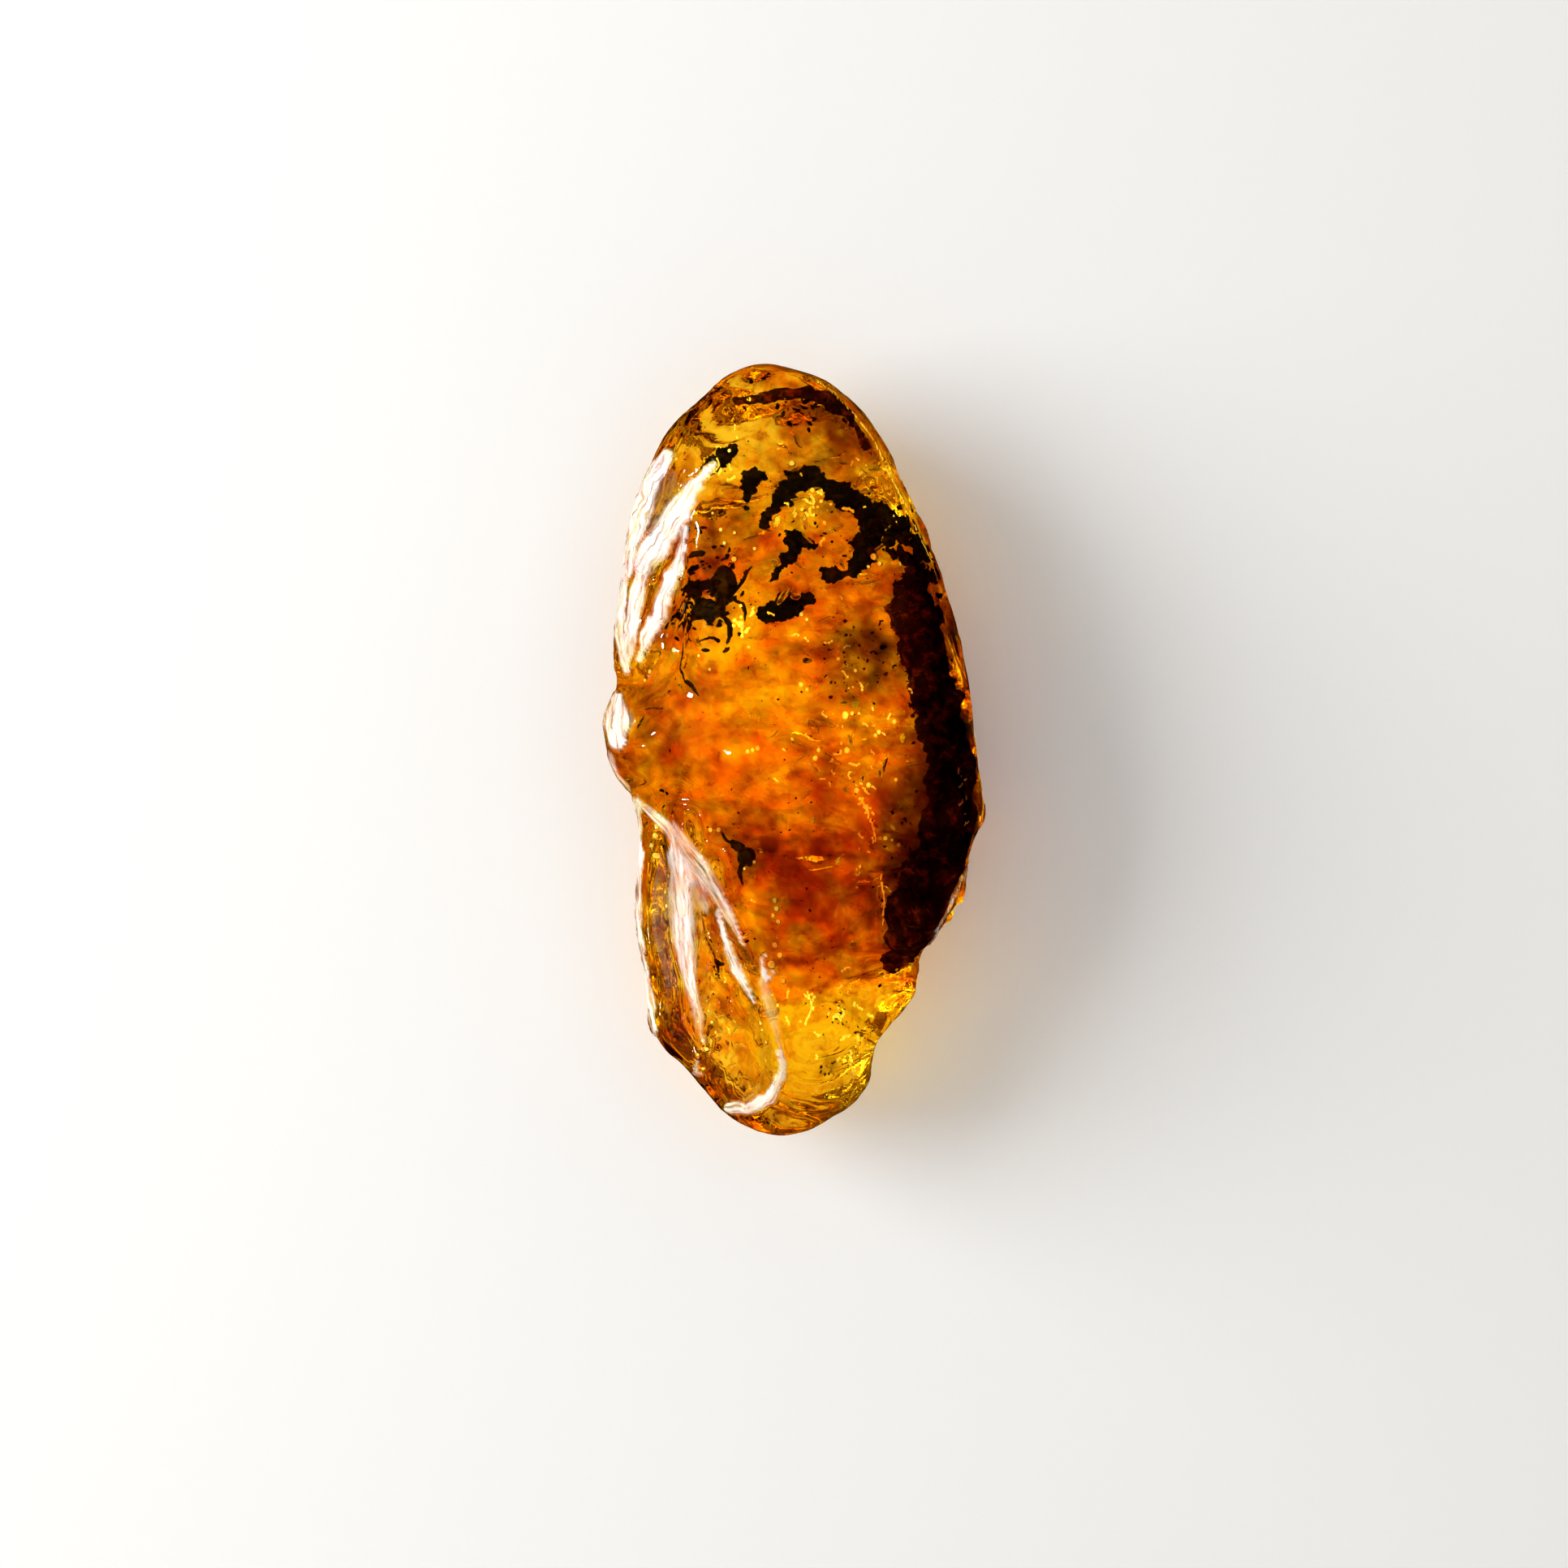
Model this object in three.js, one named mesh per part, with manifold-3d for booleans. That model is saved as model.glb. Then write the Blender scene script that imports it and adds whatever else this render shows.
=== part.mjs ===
// A tumbled nugget of clear amber, lying flat, with insects and plant debris sealed in it.
// Millimetres, +Z up, long axis along Y. The clear stone is parted in two on one level, and
// each sealed thing lies in a pocket that crosses the parting.
import * as THREE from "three";
import { mergeVertices } from "three/addons/utils/BufferGeometryUtils.js";
import Module from "manifold-3d";

const wasm = await Module();
wasm.setup();

// Driving dimensions
const LENGTH = 47.5;
const HALF_LENGTH = LENGTH / 2;
const CROWN = 8.3; // rise of the top above the widest level
const KEEL = 8.6; // depth that the round underside would have without its flat
const PARTING = 7.8; // height of the parting
const GAP = 0.3; // between the halves, and round each sealed thing
const REACH = 40; // half size of the blocks that part the halves and cut the flat

const STATIONS = 46; // rings along the nugget
const SIDES = 36; // facets round it, two thirds of them on top
const TOP_SHARE = 2 / 3;

// The two sides of the outline, seen from above, from the far end to the near end, as [y, x]
const FAR_END_X = -1.9;
const NEAR_END_X = -0.8;
const LEFT_SIDE = [
  [23.4, -3.7], [22.9, -4.6], [22, -5.5], [20.2, -7.4], [18.4, -8.6], [16.6, -9.4], [13.9, -10.1],
  [11.2, -10.5], [8.5, -10.9], [5.8, -11.2], [4, -11], [2.2, -11.7], [1.2, -11.75], [-0.5, -11.4],
  [-1.5, -11], [-2.4, -10.3], [-3.3, -9.8], [-5.9, -9.5], [-8.6, -9.8], [-11.3, -9.8], [-14, -9.2],
  [-16.8, -9], [-17.7, -8.5], [-18.6, -7.8], [-19.5, -6.8], [-21.2, -5.5], [-22.2, -4.6], [-23.1, -3.1],
];
const RIGHT_SIDE = [
  [23.4, -0.2], [22.9, 1.5], [22, 2.9], [20.2, 4.6], [18.4, 5.8], [16.6, 6.6], [13, 8.2], [9.4, 9.5],
  [4.9, 10.6], [-0.5, 11.3], [-3.2, 11.75], [-4.1, 11.7], [-5, 11.3], [-6.9, 10.7], [-8.6, 10.5],
  [-9.6, 10.2], [-11.4, 8.9], [-12.2, 8], [-13.8, 7.6], [-15, 7.4], [-16.8, 6], [-17.7, 5.3],
  [-18.6, 4.9], [-20.2, 4.7], [-21.3, 4.1], [-22.2, 3.1], [-23.1, 1.6],
];

// How the nugget's height changes along it, as [y, value]
const WIDEST_LEVEL = [[-23.8, 6.2], [-14, 6.9], [0, 7.2], [23.8, 7.4]];
const CROWN_SHARE = [[-23.8, 0.72], [-19, 0.78], [-13, 0.9], [-6, 1], [4, 1], [14, 0.97], [23.8, 0.95]];
const KEEL_SHARE = [[-23.8, 0.8], [-12, 0.97], [0, 1], [12, 1], [23.8, 0.86]];
const END_ROUNDING = 0.7;
const ACROSS_POWER = 0.95;
const UP_POWER = 0.88;
const DROP_ONSET = 2.2; // how soon, going up from the widest level, a hollow reaches its depth
const LEAST_SHARE = 0.15; // share of the dome that is left under the deepest hollow

// The scooped hollow at the lower left: its upper edge as [y, x], and its depth as [y, depth]
const SCOOP_EDGE = [
  [-2.5, -9.8], [-3.7, -7.5], [-6.7, -5.4], [-9.2, -3.7], [-12.7, -2.2], [-15.7, -1.5],
  [-18.7, -0.8], [-20.7, -1.1], [-22.2, -2.5],
];
const SCOOP_DEPTH = [[-2.2, 0], [-4.2, 1.4], [-7, 3], [-10, 3.3], [-16, 2.5], [-20.5, 1.3], [-23.4, 0.2]];
const SCOOP_WALL = 1.7; // width of its steep side
const SCOOP_FOOT = 0.6; // how far in from the left side it starts, leaving a rounded lobe there
const SCOOP_FOOT_WIDTH = 2;

// Draped folds in the hollow: crest as [y, x], rise, and spread to its left and right
const FOLDS = [
  { crest: [[-4.8, -6.9], [-8.7, -6.6], [-13.2, -6.3], [-18.2, -5.6]], rise: 1.2, left: 0.7, right: 0.9 },
  { crest: [[-7.5, -5.2], [-9.8, -4.6], [-12.6, -3.7], [-18.2, -1.6]], rise: 0.8, left: 0.7, right: 0.7 },
];
const FOLD_FADE = 2; // length over which a fold dies out at its ends

// The low lobe behind the right edge: where the high part ends as [y, x], and the drop to the lobe
const LOBE_EDGE = [[-5.5, 11.2], [-6.9, 10.6], [-9.4, 9.4], [-11.9, 8], [-13, 7.4]];
const LOBE_DROP = 3.4;
const LOBE_WALL = 0.7;

// A flat facet on the upper left flank: a point on it and its slopes along X and Y
const FACET = { x: -6.5, y: 11, z: 13, slopeX: 1, slopeY: -0.08 };
const FACET_LEAST_SHARE = 0.3; // share of the dome that is left at the facet's foot

// Round knobs and dents on the top: place, radius and rise
const BUMPS = [
  { x: -10.4, y: 1.4, radius: 1.7, rise: 1.3 },
  { x: -10.6, y: 4.2, radius: 0.9, rise: -0.9 },
  { x: 3, y: 4, radius: 5.5, rise: 0.5 },
  { x: -3.5, y: -1, radius: 3.4, rise: 0.35 },
  { x: 5.5, y: -6, radius: 3, rise: -0.35 },
  { x: 2.6, y: -14.5, radius: 2.2, rise: -0.6 },
  { x: 1.6, y: -19, radius: 2.3, rise: 0.6 },
  { x: -1.5, y: 15, radius: 3.6, rise: -0.3 },
];

// Colours and finishes
const COLOURS = {
  amber: { color: 0xd9780f, roughness: 0.06, metalness: 0, transparent: true, opacity: 0.45 },
  debris: { color: 0x1a0d08, roughness: 0.8, metalness: 0 },
  bark: { color: 0x2a1208, roughness: 0.85, metalness: 0 },
  insect: { color: 0x0e0806, roughness: 0.45, metalness: 0 },
};

// A smooth function through knots [at, value] in either order, level beyond its ends
function through(knots) {
  const sorted = [...knots].sort((a, b) => a[0] - b[0]);
  const last = sorted.length - 1;
  const slope = (i) => {
    const before = sorted[Math.max(i - 1, 0)];
    const after = sorted[Math.min(i + 1, last)];
    return (after[1] - before[1]) / (after[0] - before[0]);
  };
  return (at) => {
    if (at <= sorted[0][0]) return sorted[0][1];
    if (at >= sorted[last][0]) return sorted[last][1];
    const i = sorted.findIndex((knot) => knot[0] > at) - 1;
    const span = sorted[i + 1][0] - sorted[i][0];
    const t = (at - sorted[i][0]) / span;
    const rise = sorted[i + 1][1] - sorted[i][1];
    const a = slope(i) * span - rise;
    const b = rise - slope(i + 1) * span;
    return sorted[i][1] + t * rise + t * (1 - t) * (a * (1 - t) + b * t);
  };
}

const smoothStep = (t) => THREE.MathUtils.smoothstep(t, 0, 1);
const signedPower = (value, power) => Math.sign(value) * Math.abs(value) ** power;
const angleAt = (y) => Math.acos(THREE.MathUtils.clamp(y / HALF_LENGTH, -1, 1));

function sideOfOutline(side) {
  const inner = side.map(([y, x]) => [angleAt(y), x]);
  return through([[0, FAR_END_X], ...inner, [Math.PI, NEAR_END_X]]);
}

const leftSide = sideOfOutline(LEFT_SIDE);
const rightSide = sideOfOutline(RIGHT_SIDE);
const widestLevel = through(WIDEST_LEVEL);
const crownShare = through(CROWN_SHARE);
const keelShare = through(KEEL_SHARE);
const scoopEdge = through(SCOOP_EDGE);
const scoopDepth = through(SCOOP_DEPTH);
const lobeEdge = through(LOBE_EDGE);
const folds = FOLDS.map((fold) => ({ ...fold, at: through(fold.crest) }));

function foldRise(x, y) {
  let rise = 0;
  for (const fold of folds) {
    const start = fold.crest[0][0] + FOLD_FADE;
    const end = fold.crest[fold.crest.length - 1][0] - FOLD_FADE;
    const fade = smoothStep((start - y) / FOLD_FADE) * smoothStep((y - end) / FOLD_FADE);
    const off = x - fold.at(y);
    const spread = off < 0 ? fold.left : fold.right;
    rise += fold.rise * fade * Math.exp(-((off / spread) ** 2));
  }
  return rise;
}

function bumpRise(x, y) {
  let rise = 0;
  for (const bump of BUMPS) {
    const far = Math.hypot(x - bump.x, y - bump.y) / bump.radius;
    rise += bump.rise * Math.exp(-(far ** 2));
  }
  return rise;
}

// How far the top lies below the plain dome, at a point that lies inset from the left side
function dropOfTop(x, y, inset) {
  const onFoot = smoothStep((inset - SCOOP_FOOT) / SCOOP_FOOT_WIDTH);
  const inScoop = onFoot * smoothStep((scoopEdge(y) - x) / SCOOP_WALL);
  const scoop = scoopDepth(y) * inScoop;
  const onLobe = y < LOBE_EDGE[0][0] && y > LOBE_EDGE[LOBE_EDGE.length - 1][0];
  const lobe = onLobe ? LOBE_DROP * smoothStep((x - lobeEdge(y)) / LOBE_WALL) : 0;
  return scoop + lobe - foldRise(x, y) - bumpRise(x, y);
}

// The skin of the nugget: along runs from the far end to the near end, and around goes from
// the left side over the top to the right side and back underneath
function nuggetPoint(along, around) {
  const y = HALF_LENGTH * Math.cos(along);
  const onTop = around < TOP_SHARE;
  const turn = onTop
    ? (Math.PI * around) / TOP_SHARE
    : Math.PI * (1 + (around - TOP_SHARE) / (1 - TOP_SHARE));
  const middle = (leftSide(along) + rightSide(along)) / 2;
  const halfWidth = (rightSide(along) - leftSide(along)) / 2;
  const inset = halfWidth * (1 - signedPower(Math.cos(turn), ACROSS_POWER));
  const x = middle - halfWidth + inset;
  const up = signedPower(Math.sin(turn), UP_POWER);
  const level = widestLevel(y);
  const bulk = Math.sin(along) ** END_ROUNDING;
  if (!onTop) return new THREE.Vector3(x, y, level + KEEL * keelShare(y) * bulk * up);
  const dome = CROWN * crownShare(y) * bulk * up;
  const drop = dropOfTop(x, y, inset) * Math.min(1, DROP_ONSET * up * bulk);
  const height = Math.max(LEAST_SHARE * dome, dome - drop);
  const facet = FACET.z + FACET.slopeX * (x - FACET.x) + FACET.slopeY * (y - FACET.y);
  const facetTop = Math.max(facet, level + FACET_LEAST_SHARE * dome);
  return new THREE.Vector3(x, y, Math.min(level + height, facetTop));
}

// A sphere whose points are moved: place gets the share along it and the share around it
function pulledSphere(sides, rings, place) {
  const geometry = new THREE.SphereGeometry(1, sides, rings);
  const uv = geometry.attributes.uv;
  const position = geometry.attributes.position;
  for (let i = 0; i < position.count; i += 1) {
    const point = place(1 - uv.getY(i), uv.getX(i));
    position.setXYZ(i, point.x, point.y, point.z);
  }
  return geometry;
}

// A strand that swells and thins along a line of points [x, y, z, half width]. Its thickness is
// its width times flatness, and grow makes it larger all round.
function strand(points, { flatness = 1, sides = 7, rings = 8, grow = 0 } = {}) {
  const line = new THREE.CatmullRomCurve3(points.map(([x, y, z]) => new THREE.Vector3(x, y, z)));
  const halfWidth = through(points.map((point, i) => [i / (points.length - 1), point[3]]));
  const vertical = new THREE.Vector3(0, 0, 1);
  return pulledSphere(sides, rings, (along, around) => {
    const share = (1 - Math.cos(Math.PI * along)) / 2;
    const round = Math.sqrt(Math.sin(Math.PI * along));
    const forward = line.getTangent(share);
    const sideways = new THREE.Vector3().crossVectors(forward, vertical).normalize();
    const upward = new THREE.Vector3().crossVectors(sideways, forward).normalize();
    const wide = (halfWidth(share) + grow) * round * Math.cos(2 * Math.PI * around);
    const high = (halfWidth(share) * flatness + grow) * round * Math.sin(2 * Math.PI * around);
    return line
      .getPoint(share)
      .addScaledVector(forward, -grow * Math.cos(Math.PI * along))
      .addScaledVector(sideways, wide)
      .addScaledVector(upward, high);
  });
}

function solidOf(geometry) {
  const bare = geometry.clone();
  bare.deleteAttribute("normal");
  bare.deleteAttribute("uv");
  const merged = mergeVertices(bare, 1e-4);
  return new wasm.Manifold(new wasm.Mesh({
    numProp: 3,
    vertProperties: new Float32Array(merged.attributes.position.array),
    triVerts: new Uint32Array(merged.index.array),
  }));
}

function geometryOf(solid) {
  const mesh = solid.getMesh();
  const geometry = new THREE.BufferGeometry();
  geometry.setAttribute("position", new THREE.BufferAttribute(mesh.vertProperties, 3));
  geometry.setIndex(new THREE.BufferAttribute(mesh.triVerts, 1));
  geometry.computeVertexNormals();
  return geometry;
}

const joined = (solids) => solids.reduce((whole, solid) => whole.add(solid));

// A block as wide as the stone, between two heights
function slab(low, high) {
  const block = new THREE.BoxGeometry(2 * REACH, 2 * REACH, high - low);
  block.translate(0, 0, (low + high) / 2);
  return solidOf(block);
}

// Sealed pieces, each a list of strands. A strand is its points, and how flat and fine it is.
const BARK_STRIP = [
  {
    points: [
      [5.9, 11, 7.9, 0.7], [6.1, 8.9, 7.9, 1], [5.9, 7.2, 7.8, 1.4], [6.3, 5.4, 7.8, 1.2],
      [7, 2.6, 7.7, 1.15], [7.8, 0.2, 7.6, 1.25], [8.2, -2.4, 7.5, 1.15], [8, -5.2, 7.5, 1.3],
      [7.2, -7.4, 7.6, 1.6], [6.3, -9.9, 7.7, 1.6], [5.6, -11.5, 7.7, 1.3], [5, -13.1, 7.7, 0.8],
    ],
    flatness: 0.42, sides: 7, rings: 14,
  },
];

const DEBRIS_WEB = [
  {
    points: [
      [-0.9, 16.7, 8.2, 0.3], [0.2, 16.3, 8.2, 0.4], [1.1, 16, 8.1, 0.4], [2, 15.4, 8.1, 0.45],
      [3, 14, 8, 0.55], [4.1, 13.4, 8, 0.9], [5.1, 13.2, 7.9, 0.9], [5.9, 12.6, 7.9, 0.6],
    ],
    flatness: 0.6, sides: 7, rings: 12,
  },
  {
    points: [[0, 16.3, 8.2, 0.35], [-0.7, 15.3, 8.2, 0.3], [-1.3, 14.3, 8.1, 0.3], [-2, 13.2, 8.1, 0.2]],
    flatness: 0.7, sides: 6, rings: 7,
  },
  {
    points: [
      [4.3, 13.2, 8, 0.7], [3.5, 12.2, 8, 0.45], [3.2, 11.2, 8, 0.4], [2.8, 10.4, 8, 0.3],
      [2.1, 10.1, 8, 0.3], [1.2, 10.4, 8, 0.18],
    ],
    flatness: 0.6, sides: 6, rings: 9,
  },
];

const DEBRIS_KNOT = [
  {
    points: [[-0.6, 12.8, 8, 0.2], [-0.1, 12.2, 8, 0.42], [0.5, 12.1, 8, 0.3], [1.2, 11.7, 8, 0.15]],
    flatness: 0.7, sides: 6, rings: 7,
  },
  {
    points: [[-0.1, 12.3, 8, 0.4], [-0.2, 11.3, 8, 0.35], [-0.8, 10.6, 7.9, 0.25], [-1.3, 9.7, 7.9, 0.18]],
    flatness: 0.7, sides: 6, rings: 7,
  },
];

const BLACK_FLAKE = [
  {
    points: [[-1.5, 7.6, 7.9, 0.4], [-0.9, 8.1, 7.9, 0.8], [-0.1, 8.3, 7.9, 0.6], [0.9, 8.8, 7.9, 0.2]],
    flatness: 0.45, sides: 8, rings: 8,
  },
];

const TOP_SLIVER = [
  {
    points: [
      [-3.3, 20.4, 7.9, 0.15], [-1.6, 20.7, 7.9, 0.4], [0.2, 21, 7.9, 0.45], [1.6, 20.5, 7.9, 0.42],
      [3, 19, 7.9, 0.35], [3.8, 17.4, 7.9, 0.15],
    ],
    flatness: 0.6, sides: 6, rings: 11,
  },
];

const SIDE_CRUMB = [
  {
    points: [[-4.9, 16.6, 7.9, 0.15], [-4.3, 17, 7.9, 0.38], [-3.9, 17.4, 7.9, 0.4], [-3.4, 18, 7.9, 0.2]],
    flatness: 0.7, sides: 6, rings: 7,
  },
];

const MIDDLE_CRUMB = [
  {
    points: [[-3.1, 16.6, 8, 0.25], [-2.4, 16.3, 8, 0.42], [-1.8, 16.2, 8, 0.25]],
    flatness: 0.7, sides: 6, rings: 6,
  },
  {
    points: [[-2.5, 16.3, 8, 0.3], [-2.7, 15.6, 8, 0.32], [-2.8, 14.8, 8, 0.15]],
    flatness: 0.7, sides: 6, rings: 6,
  },
];

const PLANT_NEEDLE = [
  {
    points: [[-5.4, 6.6, 8.4, 0.1], [-5.3, 5.8, 8.2, 0.2], [-5.1, 4.8, 8, 0.22], [-4.6, 2.9, 7.7, 0.06]],
    sides: 6, rings: 9,
  },
];

const LEG = { sides: 4, rings: 6 };
const INSECT = [
  {
    points: [[-3.9, 11, 8.2, 0.35], [-3.8, 10.2, 8.2, 0.72], [-3.7, 9.4, 8.1, 0.68], [-3.8, 8.6, 8, 0.4]],
    flatness: 0.85,
  },
  { points: [[-3.8, 8.9, 8, 0.35], [-4, 8.3, 8, 0.55], [-4.3, 7.8, 8, 0.4]], flatness: 0.9, rings: 8 },
  { points: [[-4.2, 7.9, 8, 0.3], [-4.6, 7.4, 7.9, 0.38], [-4.8, 7.1, 7.9, 0.2]], rings: 7 },
  {
    points: [[-3.9, 9.8, 8.2, 0.3], [-4.6, 9.9, 8.2, 0.3], [-5.4, 9.9, 8.1, 0.15]],
    flatness: 0.5, ...LEG,
  },
  {
    points: [[-4, 8.5, 8, 0.15], [-4.9, 9.2, 8.3, 0.12], [-5.5, 8.6, 8, 0.1], [-5.6, 7.6, 7.7, 0.06]],
    ...LEG,
  },
  {
    points: [[-4.2, 8, 8, 0.15], [-4.9, 8.2, 8.3, 0.11], [-5.3, 7.3, 7.9, 0.09], [-5.2, 6.9, 7.8, 0.06]],
    ...LEG,
  },
  {
    points: [[-3.9, 8.4, 8, 0.15], [-3.1, 8.9, 8.3, 0.12], [-2.6, 8.2, 8, 0.1], [-2.5, 7.4, 7.7, 0.06]],
    ...LEG,
  },
  {
    points: [[-4, 8.1, 8, 0.2], [-3.5, 7.6, 8.3, 0.17], [-3.3, 6.8, 8, 0.13], [-3.4, 6.1, 7.7, 0.07]],
    ...LEG,
  },
  {
    points: [[-3.8, 9, 8.1, 0.15], [-3, 9.6, 8.4, 0.12], [-2.6, 10.4, 8.1, 0.09], [-2.3, 10.8, 7.9, 0.06]],
    ...LEG,
  },
  { points: [[-4.6, 7.4, 8, 0.1], [-4.9, 6.7, 8.2, 0.07], [-4.5, 6.2, 8.1, 0.05]], ...LEG },
  { points: [[-4.5, 7.5, 8, 0.1], [-4.3, 6.7, 8.2, 0.07], [-3.9, 6.4, 8.1, 0.05]], ...LEG },
];
const INSECT_POCKET = [
  { points: [[-4.3, 5.5, 8, 1.5], [-4.1, 8.6, 8, 2.1], [-3.8, 11.6, 8, 1.5]], flatness: 0.6, sides: 8 },
];

const ROUND_BEETLE = [
  {
    points: [[-2.7, -5.7, 8, 0.3], [-2.4, -6.1, 8.1, 0.6], [-2.1, -6.6, 8, 0.35]],
    flatness: 0.8, rings: 8,
  },
  {
    points: [[-2.5, -5.9, 8, 0.3], [-2.9, -5.5, 8, 0.34], [-3.1, -5.2, 8, 0.15]],
    flatness: 0.8, sides: 6, rings: 6,
  },
  { points: [[-2.8, -5.6, 8, 0.12], [-3.4, -5.3, 8.2, 0.09], [-3.6, -4.7, 8, 0.05]], ...LEG },
  { points: [[-2.5, -6.3, 8, 0.15], [-2.8, -7, 8.1, 0.12], [-2.6, -7.7, 7.9, 0.06]], ...LEG },
];
const BEETLE_POCKET = [
  { points: [[-3.3, -4.5, 8, 1], [-2.8, -6, 8, 1.3], [-2.5, -7.9, 8, 0.9]], flatness: 0.9, rings: 7 },
];

const GNAT = [
  {
    points: [[-4.9, -12.7, 8, 0.12], [-4.3, -12.8, 8, 0.2], [-3.7, -12.8, 8, 0.16], [-3.2, -12.7, 8, 0.06]],
    sides: 6, rings: 7,
  },
  { points: [[-4.4, -12.7, 8, 0.18], [-4.4, -13.3, 8, 0.14], [-4.5, -13.9, 8, 0.05]], ...LEG },
  { points: [[-4.5, -12.8, 8, 0.1], [-4.9, -12.3, 8.1, 0.07], [-4.9, -12, 8, 0.05]], ...LEG },
];
const GNAT_POCKET = [
  {
    points: [[-4.3, -11.7, 8, 1], [-4.2, -13, 8, 1.3], [-4.4, -14.3, 8, 0.8]],
    flatness: 0.4, rings: 7,
  },
];

const SLIT_SLIVER = [
  {
    points: [[-7.2, -5, 7.8, 0.1], [-7, -6.2, 7.8, 0.2], [-7, -7.4, 7.8, 0.1]],
    flatness: 0.8, sides: 6, rings: 7,
  },
];

// Each sealed thing: its node's name, its strands, its finish, and its pocket if that is roomier
const SEALED = [
  { name: "bark_strip", strands: BARK_STRIP, finish: "bark" },
  { name: "debris_web", strands: DEBRIS_WEB, finish: "debris" },
  { name: "debris_knot", strands: DEBRIS_KNOT, finish: "debris" },
  { name: "black_flake", strands: BLACK_FLAKE, finish: "debris" },
  { name: "top_sliver", strands: TOP_SLIVER, finish: "bark" },
  { name: "side_crumb", strands: SIDE_CRUMB, finish: "debris" },
  { name: "middle_crumb", strands: MIDDLE_CRUMB, finish: "debris" },
  { name: "slit_sliver", strands: SLIT_SLIVER, finish: "bark" },
  { name: "plant_needle", strands: PLANT_NEEDLE, finish: "bark" },
  { name: "insect", strands: INSECT, finish: "insect", pocket: INSECT_POCKET },
  { name: "round_beetle", strands: ROUND_BEETLE, finish: "insect", pocket: BEETLE_POCKET },
  { name: "gnat", strands: GNAT, finish: "insect", pocket: GNAT_POCKET },
];

function sealedSolid(strands, grow = 0) {
  return joined(strands.map(({ points, ...shape }) => solidOf(strand(points, { ...shape, grow }))));
}

function pockets() {
  return joined(SEALED.map(({ strands, pocket }) => sealedSolid(pocket ?? strands, pocket ? 0 : GAP)));
}

function amberHalves() {
  const skin = pulledSphere(SIDES, STATIONS, (along, around) => nuggetPoint(Math.PI * along, around));
  const stone = solidOf(skin).subtract(pockets());
  return {
    amber_lower: stone.intersect(slab(0, PARTING - GAP / 2)),
    amber_upper: stone.intersect(slab(PARTING + GAP / 2, REACH)),
  };
}

const nugget = new THREE.Group();

function addPiece(name, solid, finish) {
  const mesh = new THREE.Mesh(geometryOf(solid), new THREE.MeshStandardMaterial(COLOURS[finish]));
  mesh.name = name;
  nugget.add(mesh);
}

for (const [name, solid] of Object.entries(amberHalves())) addPiece(name, solid, "amber");
for (const { name, strands, finish } of SEALED) addPiece(name, sealedSolid(strands), finish);

export default nugget;
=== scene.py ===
import math

import bmesh
import bpy
import numpy as np
from mathutils import Euler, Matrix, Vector


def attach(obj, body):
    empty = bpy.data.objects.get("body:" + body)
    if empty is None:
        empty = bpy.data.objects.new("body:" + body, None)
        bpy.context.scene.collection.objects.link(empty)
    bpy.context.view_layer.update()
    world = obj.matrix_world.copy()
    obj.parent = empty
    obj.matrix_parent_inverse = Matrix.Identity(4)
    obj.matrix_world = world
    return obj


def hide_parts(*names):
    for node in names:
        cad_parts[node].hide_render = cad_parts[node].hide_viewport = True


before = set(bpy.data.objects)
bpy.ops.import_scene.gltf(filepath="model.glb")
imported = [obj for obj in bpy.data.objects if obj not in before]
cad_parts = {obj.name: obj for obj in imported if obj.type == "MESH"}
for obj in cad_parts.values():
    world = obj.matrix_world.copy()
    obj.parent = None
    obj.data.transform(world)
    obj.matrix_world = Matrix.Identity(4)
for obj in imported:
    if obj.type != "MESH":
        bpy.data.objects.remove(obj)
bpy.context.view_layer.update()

MM = 0.001


# Size and outline of the nugget in millimetres, as in the solids
LENGTH = 47.5
HALF_LENGTH = LENGTH / 2
CROWN = 8.3
KEEL = 8.6
TOP_SHARE = 2 / 3
FAR_END_X = -1.9
NEAR_END_X = -0.8
LEFT_SIDE = [
    (23.4, -3.7), (22.9, -4.6), (22, -5.5), (20.2, -7.4), (18.4, -8.6), (16.6, -9.4), (13.9, -10.1),
    (11.2, -10.5), (8.5, -10.9), (5.8, -11.2), (4, -11), (2.2, -11.7), (1.2, -11.75), (-0.5, -11.4),
    (-1.5, -11), (-2.4, -10.3), (-3.3, -9.8), (-5.9, -9.5), (-8.6, -9.8), (-11.3, -9.8), (-14, -9.2),
    (-16.8, -9), (-17.7, -8.5), (-18.6, -7.8), (-19.5, -6.8), (-21.2, -5.5), (-22.2, -4.6), (-23.1, -3.1),
]
RIGHT_SIDE = [
    (23.4, -0.2), (22.9, 1.5), (22, 2.9), (20.2, 4.6), (18.4, 5.8), (16.6, 6.6), (13, 8.2), (9.4, 9.5),
    (4.9, 10.6), (-0.5, 11.3), (-3.2, 11.75), (-4.1, 11.7), (-5, 11.3), (-6.9, 10.7), (-8.6, 10.5),
    (-9.6, 10.2), (-11.4, 8.9), (-12.2, 8), (-13.8, 7.6), (-15, 7.4), (-16.8, 6), (-17.7, 5.3),
    (-18.6, 4.9), (-20.2, 4.7), (-21.3, 4.1), (-22.2, 3.1), (-23.1, 1.6),
]
WIDEST_LEVEL = [(-23.8, 6.2), (-14, 6.9), (0, 7.2), (23.8, 7.4)]
CROWN_SHARE = [(-23.8, 0.72), (-19, 0.78), (-13, 0.9), (-6, 1), (4, 1), (14, 0.97), (23.8, 0.95)]
KEEL_SHARE = [(-23.8, 0.8), (-12, 0.97), (0, 1), (12, 1), (23.8, 0.86)]
END_ROUNDING = 0.7
ACROSS_POWER = 0.95
UP_POWER = 0.88
DROP_ONSET = 2.2
LEAST_SHARE = 0.15

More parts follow.
